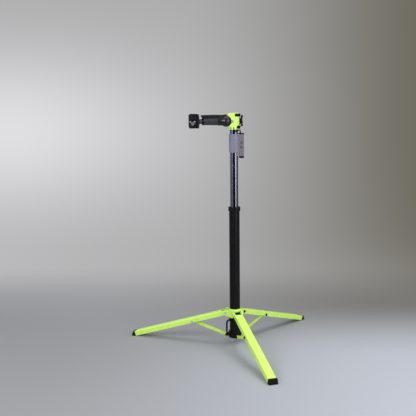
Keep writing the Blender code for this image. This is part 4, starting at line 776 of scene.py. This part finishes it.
def block(low, high, edge):
    """A block between two corners with rounded edges."""
    shape = bmesh.new()
    bmesh.ops.create_cube(shape, size=1.0)
    size = [b - a for a, b in zip(low, high)]
    bmesh.ops.scale(shape, vec=size, verts=shape.verts)
    bmesh.ops.translate(shape, vec=[(a + b) / 2 for a, b in zip(low, high)], verts=shape.verts)
    bmesh.ops.bevel(shape, geom=shape.edges[:], offset=edge, segments=3, profile=0.5, affect="EDGES",
                    material=-1)
    return shape


def lever_skirts_and_gap_shade():
    """The two thin walls under the clamp lever, which reach down beside the arm tube's top and fill the
    shaded gap there with black as painted shade.
    """
    low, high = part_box("clamp_lever")
    left, right = low[0] + SKIRT_LEFT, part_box("arm_knuckle")[0][0] + SKIRT_RIGHT
    near = [AXIS[1] + side for side in (-SKIRT_APART / 2, SKIRT_APART / 2 - SKIRT_WALL)]
    walls = [block((left, face, SKIRT_LOW), (right, face + SKIRT_WALL, high[2] - SKIRT_DROP), SKIRT_EDGE)
             for face in near]
    piece("lever_skirts_and_gap_shade", gathered(*walls), "clamp_lever", "black_plastic", finish="arm_lacquer")


def front_screws():
    """The screws in the head's and the jaw's fronts, and the head's cross bolt."""
    for node, key in SCREW_KEYS.items():
        low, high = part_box(node)
        radius = (high[0] - low[0]) / 2
        head = SCREW_HEADS[node]
        seat = Vector(((low[0] + high[0]) / 2, low[1] + head, (low[2] + high[2]) / 2))
        screw = socket_screw(radius, head, key, head * 0.6, key * 0.7, high[1] - seat[1])
        screw = aimed(screw, seat, (0, -1, 0))
        made = piece(f"{node}_finished", screw, BODY_OF[node], SLOT_OF[node], SCREW_TURN)
        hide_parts(node)
    low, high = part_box("head_cross_bolt")
    centre = middle("head_cross_bolt")
    radius, half = (high[2] - low[2]) / 2, (high[0] - low[0]) / 2
    seat = half - CROSS_HEAD
    bolt = socket_screw(radius, CROSS_HEAD, CROSS_KEY, CROSS_KEY_DEPTH, CROSS_SHANK, 2 * seat - 0.0002)
    bolt = aimed(bolt, centre - Vector((seat, 0, 0)), (-1, 0, 0))
    made = piece("head_cross_bolt_screw", bolt, "mast", "black_metal", SCREW_TURN)
    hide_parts("head_cross_bolt")
    nut = aimed(lock_nut(radius, CROSS_HEAD, CROSS_SHANK), centre + Vector((seat, 0, 0)), (1, 0, 0))
    piece("head_cross_bolt_nut", nut, "mast", "bright_steel", NUT_TURN)


def collar_screws():
    """The hexagon sockets in the heads of the collar's six pins."""
    points = node_points("lower_collar")
    whole = []
    for turn in LEG_TURNS.values():
        out = Vector((math.cos(math.radians(turn)), math.sin(math.radians(turn)), 0))
        level = Vector((-out.y, out.x, 0))
        pivot = Vector((*AXIS, COLLAR_PIVOT)) + out * PIVOT_REACH
        near = [point for point in points if (point - pivot).cross(level).length < COLLAR_PIN_RADIUS]
        for way in (level, -level):
            reach = max((point - pivot).dot(way) for point in near)
            socket = socket_screw(0.0052, 0.0010, 0.0027, 0.0009, 0, 0)
            whole.append(aimed(socket, pivot + way * (reach - SUNK), way))
    piece("collar_sockets", gathered(*whole), "column", "black_metal", SCREW_TURN)


def housing_details():
    """Small screws in the drive housing's side, and the arrows on its two buttons."""
    low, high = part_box("drive_housing")
    screws = []
    for side in (-HOUSING_SCREW_SIDE, HOUSING_SCREW_SIDE):
        for height in (low[2] + HOUSING_SCREW_END, high[2] - HOUSING_SCREW_END):
            place = (high[0] - MARK_SUNK, HOUSING_MIDDLE + side, height)
            screws.append(aimed(socket_screw(0.0024, 0.0007, 0.0011, 0.0005, 0, 0), place, (1, 0, 0)))
    piece("housing_screws", gathered(*screws), "mast", "black_metal", SCREW_TURN)
    for node, turn in (("up_button", 0), ("down_button", math.pi)):
        centre = middle(node)
        mark = bmesh.new()
        bmesh.ops.create_cone(mark, cap_ends=True, segments=3, radius1=0.0027, radius2=0.0025, depth=0.0004)
        bmesh.ops.rotate(mark, matrix=Matrix.Rotation(math.pi / 2, 3, "X"), verts=mark.verts)
        bmesh.ops.rotate(mark, matrix=Matrix.Rotation(turn, 3, "Y"), verts=mark.verts)
        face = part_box(node)[0][1] - MARK_SUNK
        bmesh.ops.translate(mark, vec=(centre.x, face, centre.z), verts=mark.verts)
        piece(f"{node}_arrow", mark, node, "white_nylon", NUT_TURN)


def main():
    """The studio first, then every node's finish, the new pieces and the refined copies."""
    studio()
    camera()
    lights()
    dress_nodes()
    column_tubes()
    arm_turnings()
    lever_skirts_and_gap_shade()
    front_screws()
    pivot_bolts()
    collar_screws()
    housing_details()
    for node in SLOT_OF:
        if node not in INSIDE and node not in OWN_PIECES:
            refined(node, TURNS.get(node, SHARP))


main()
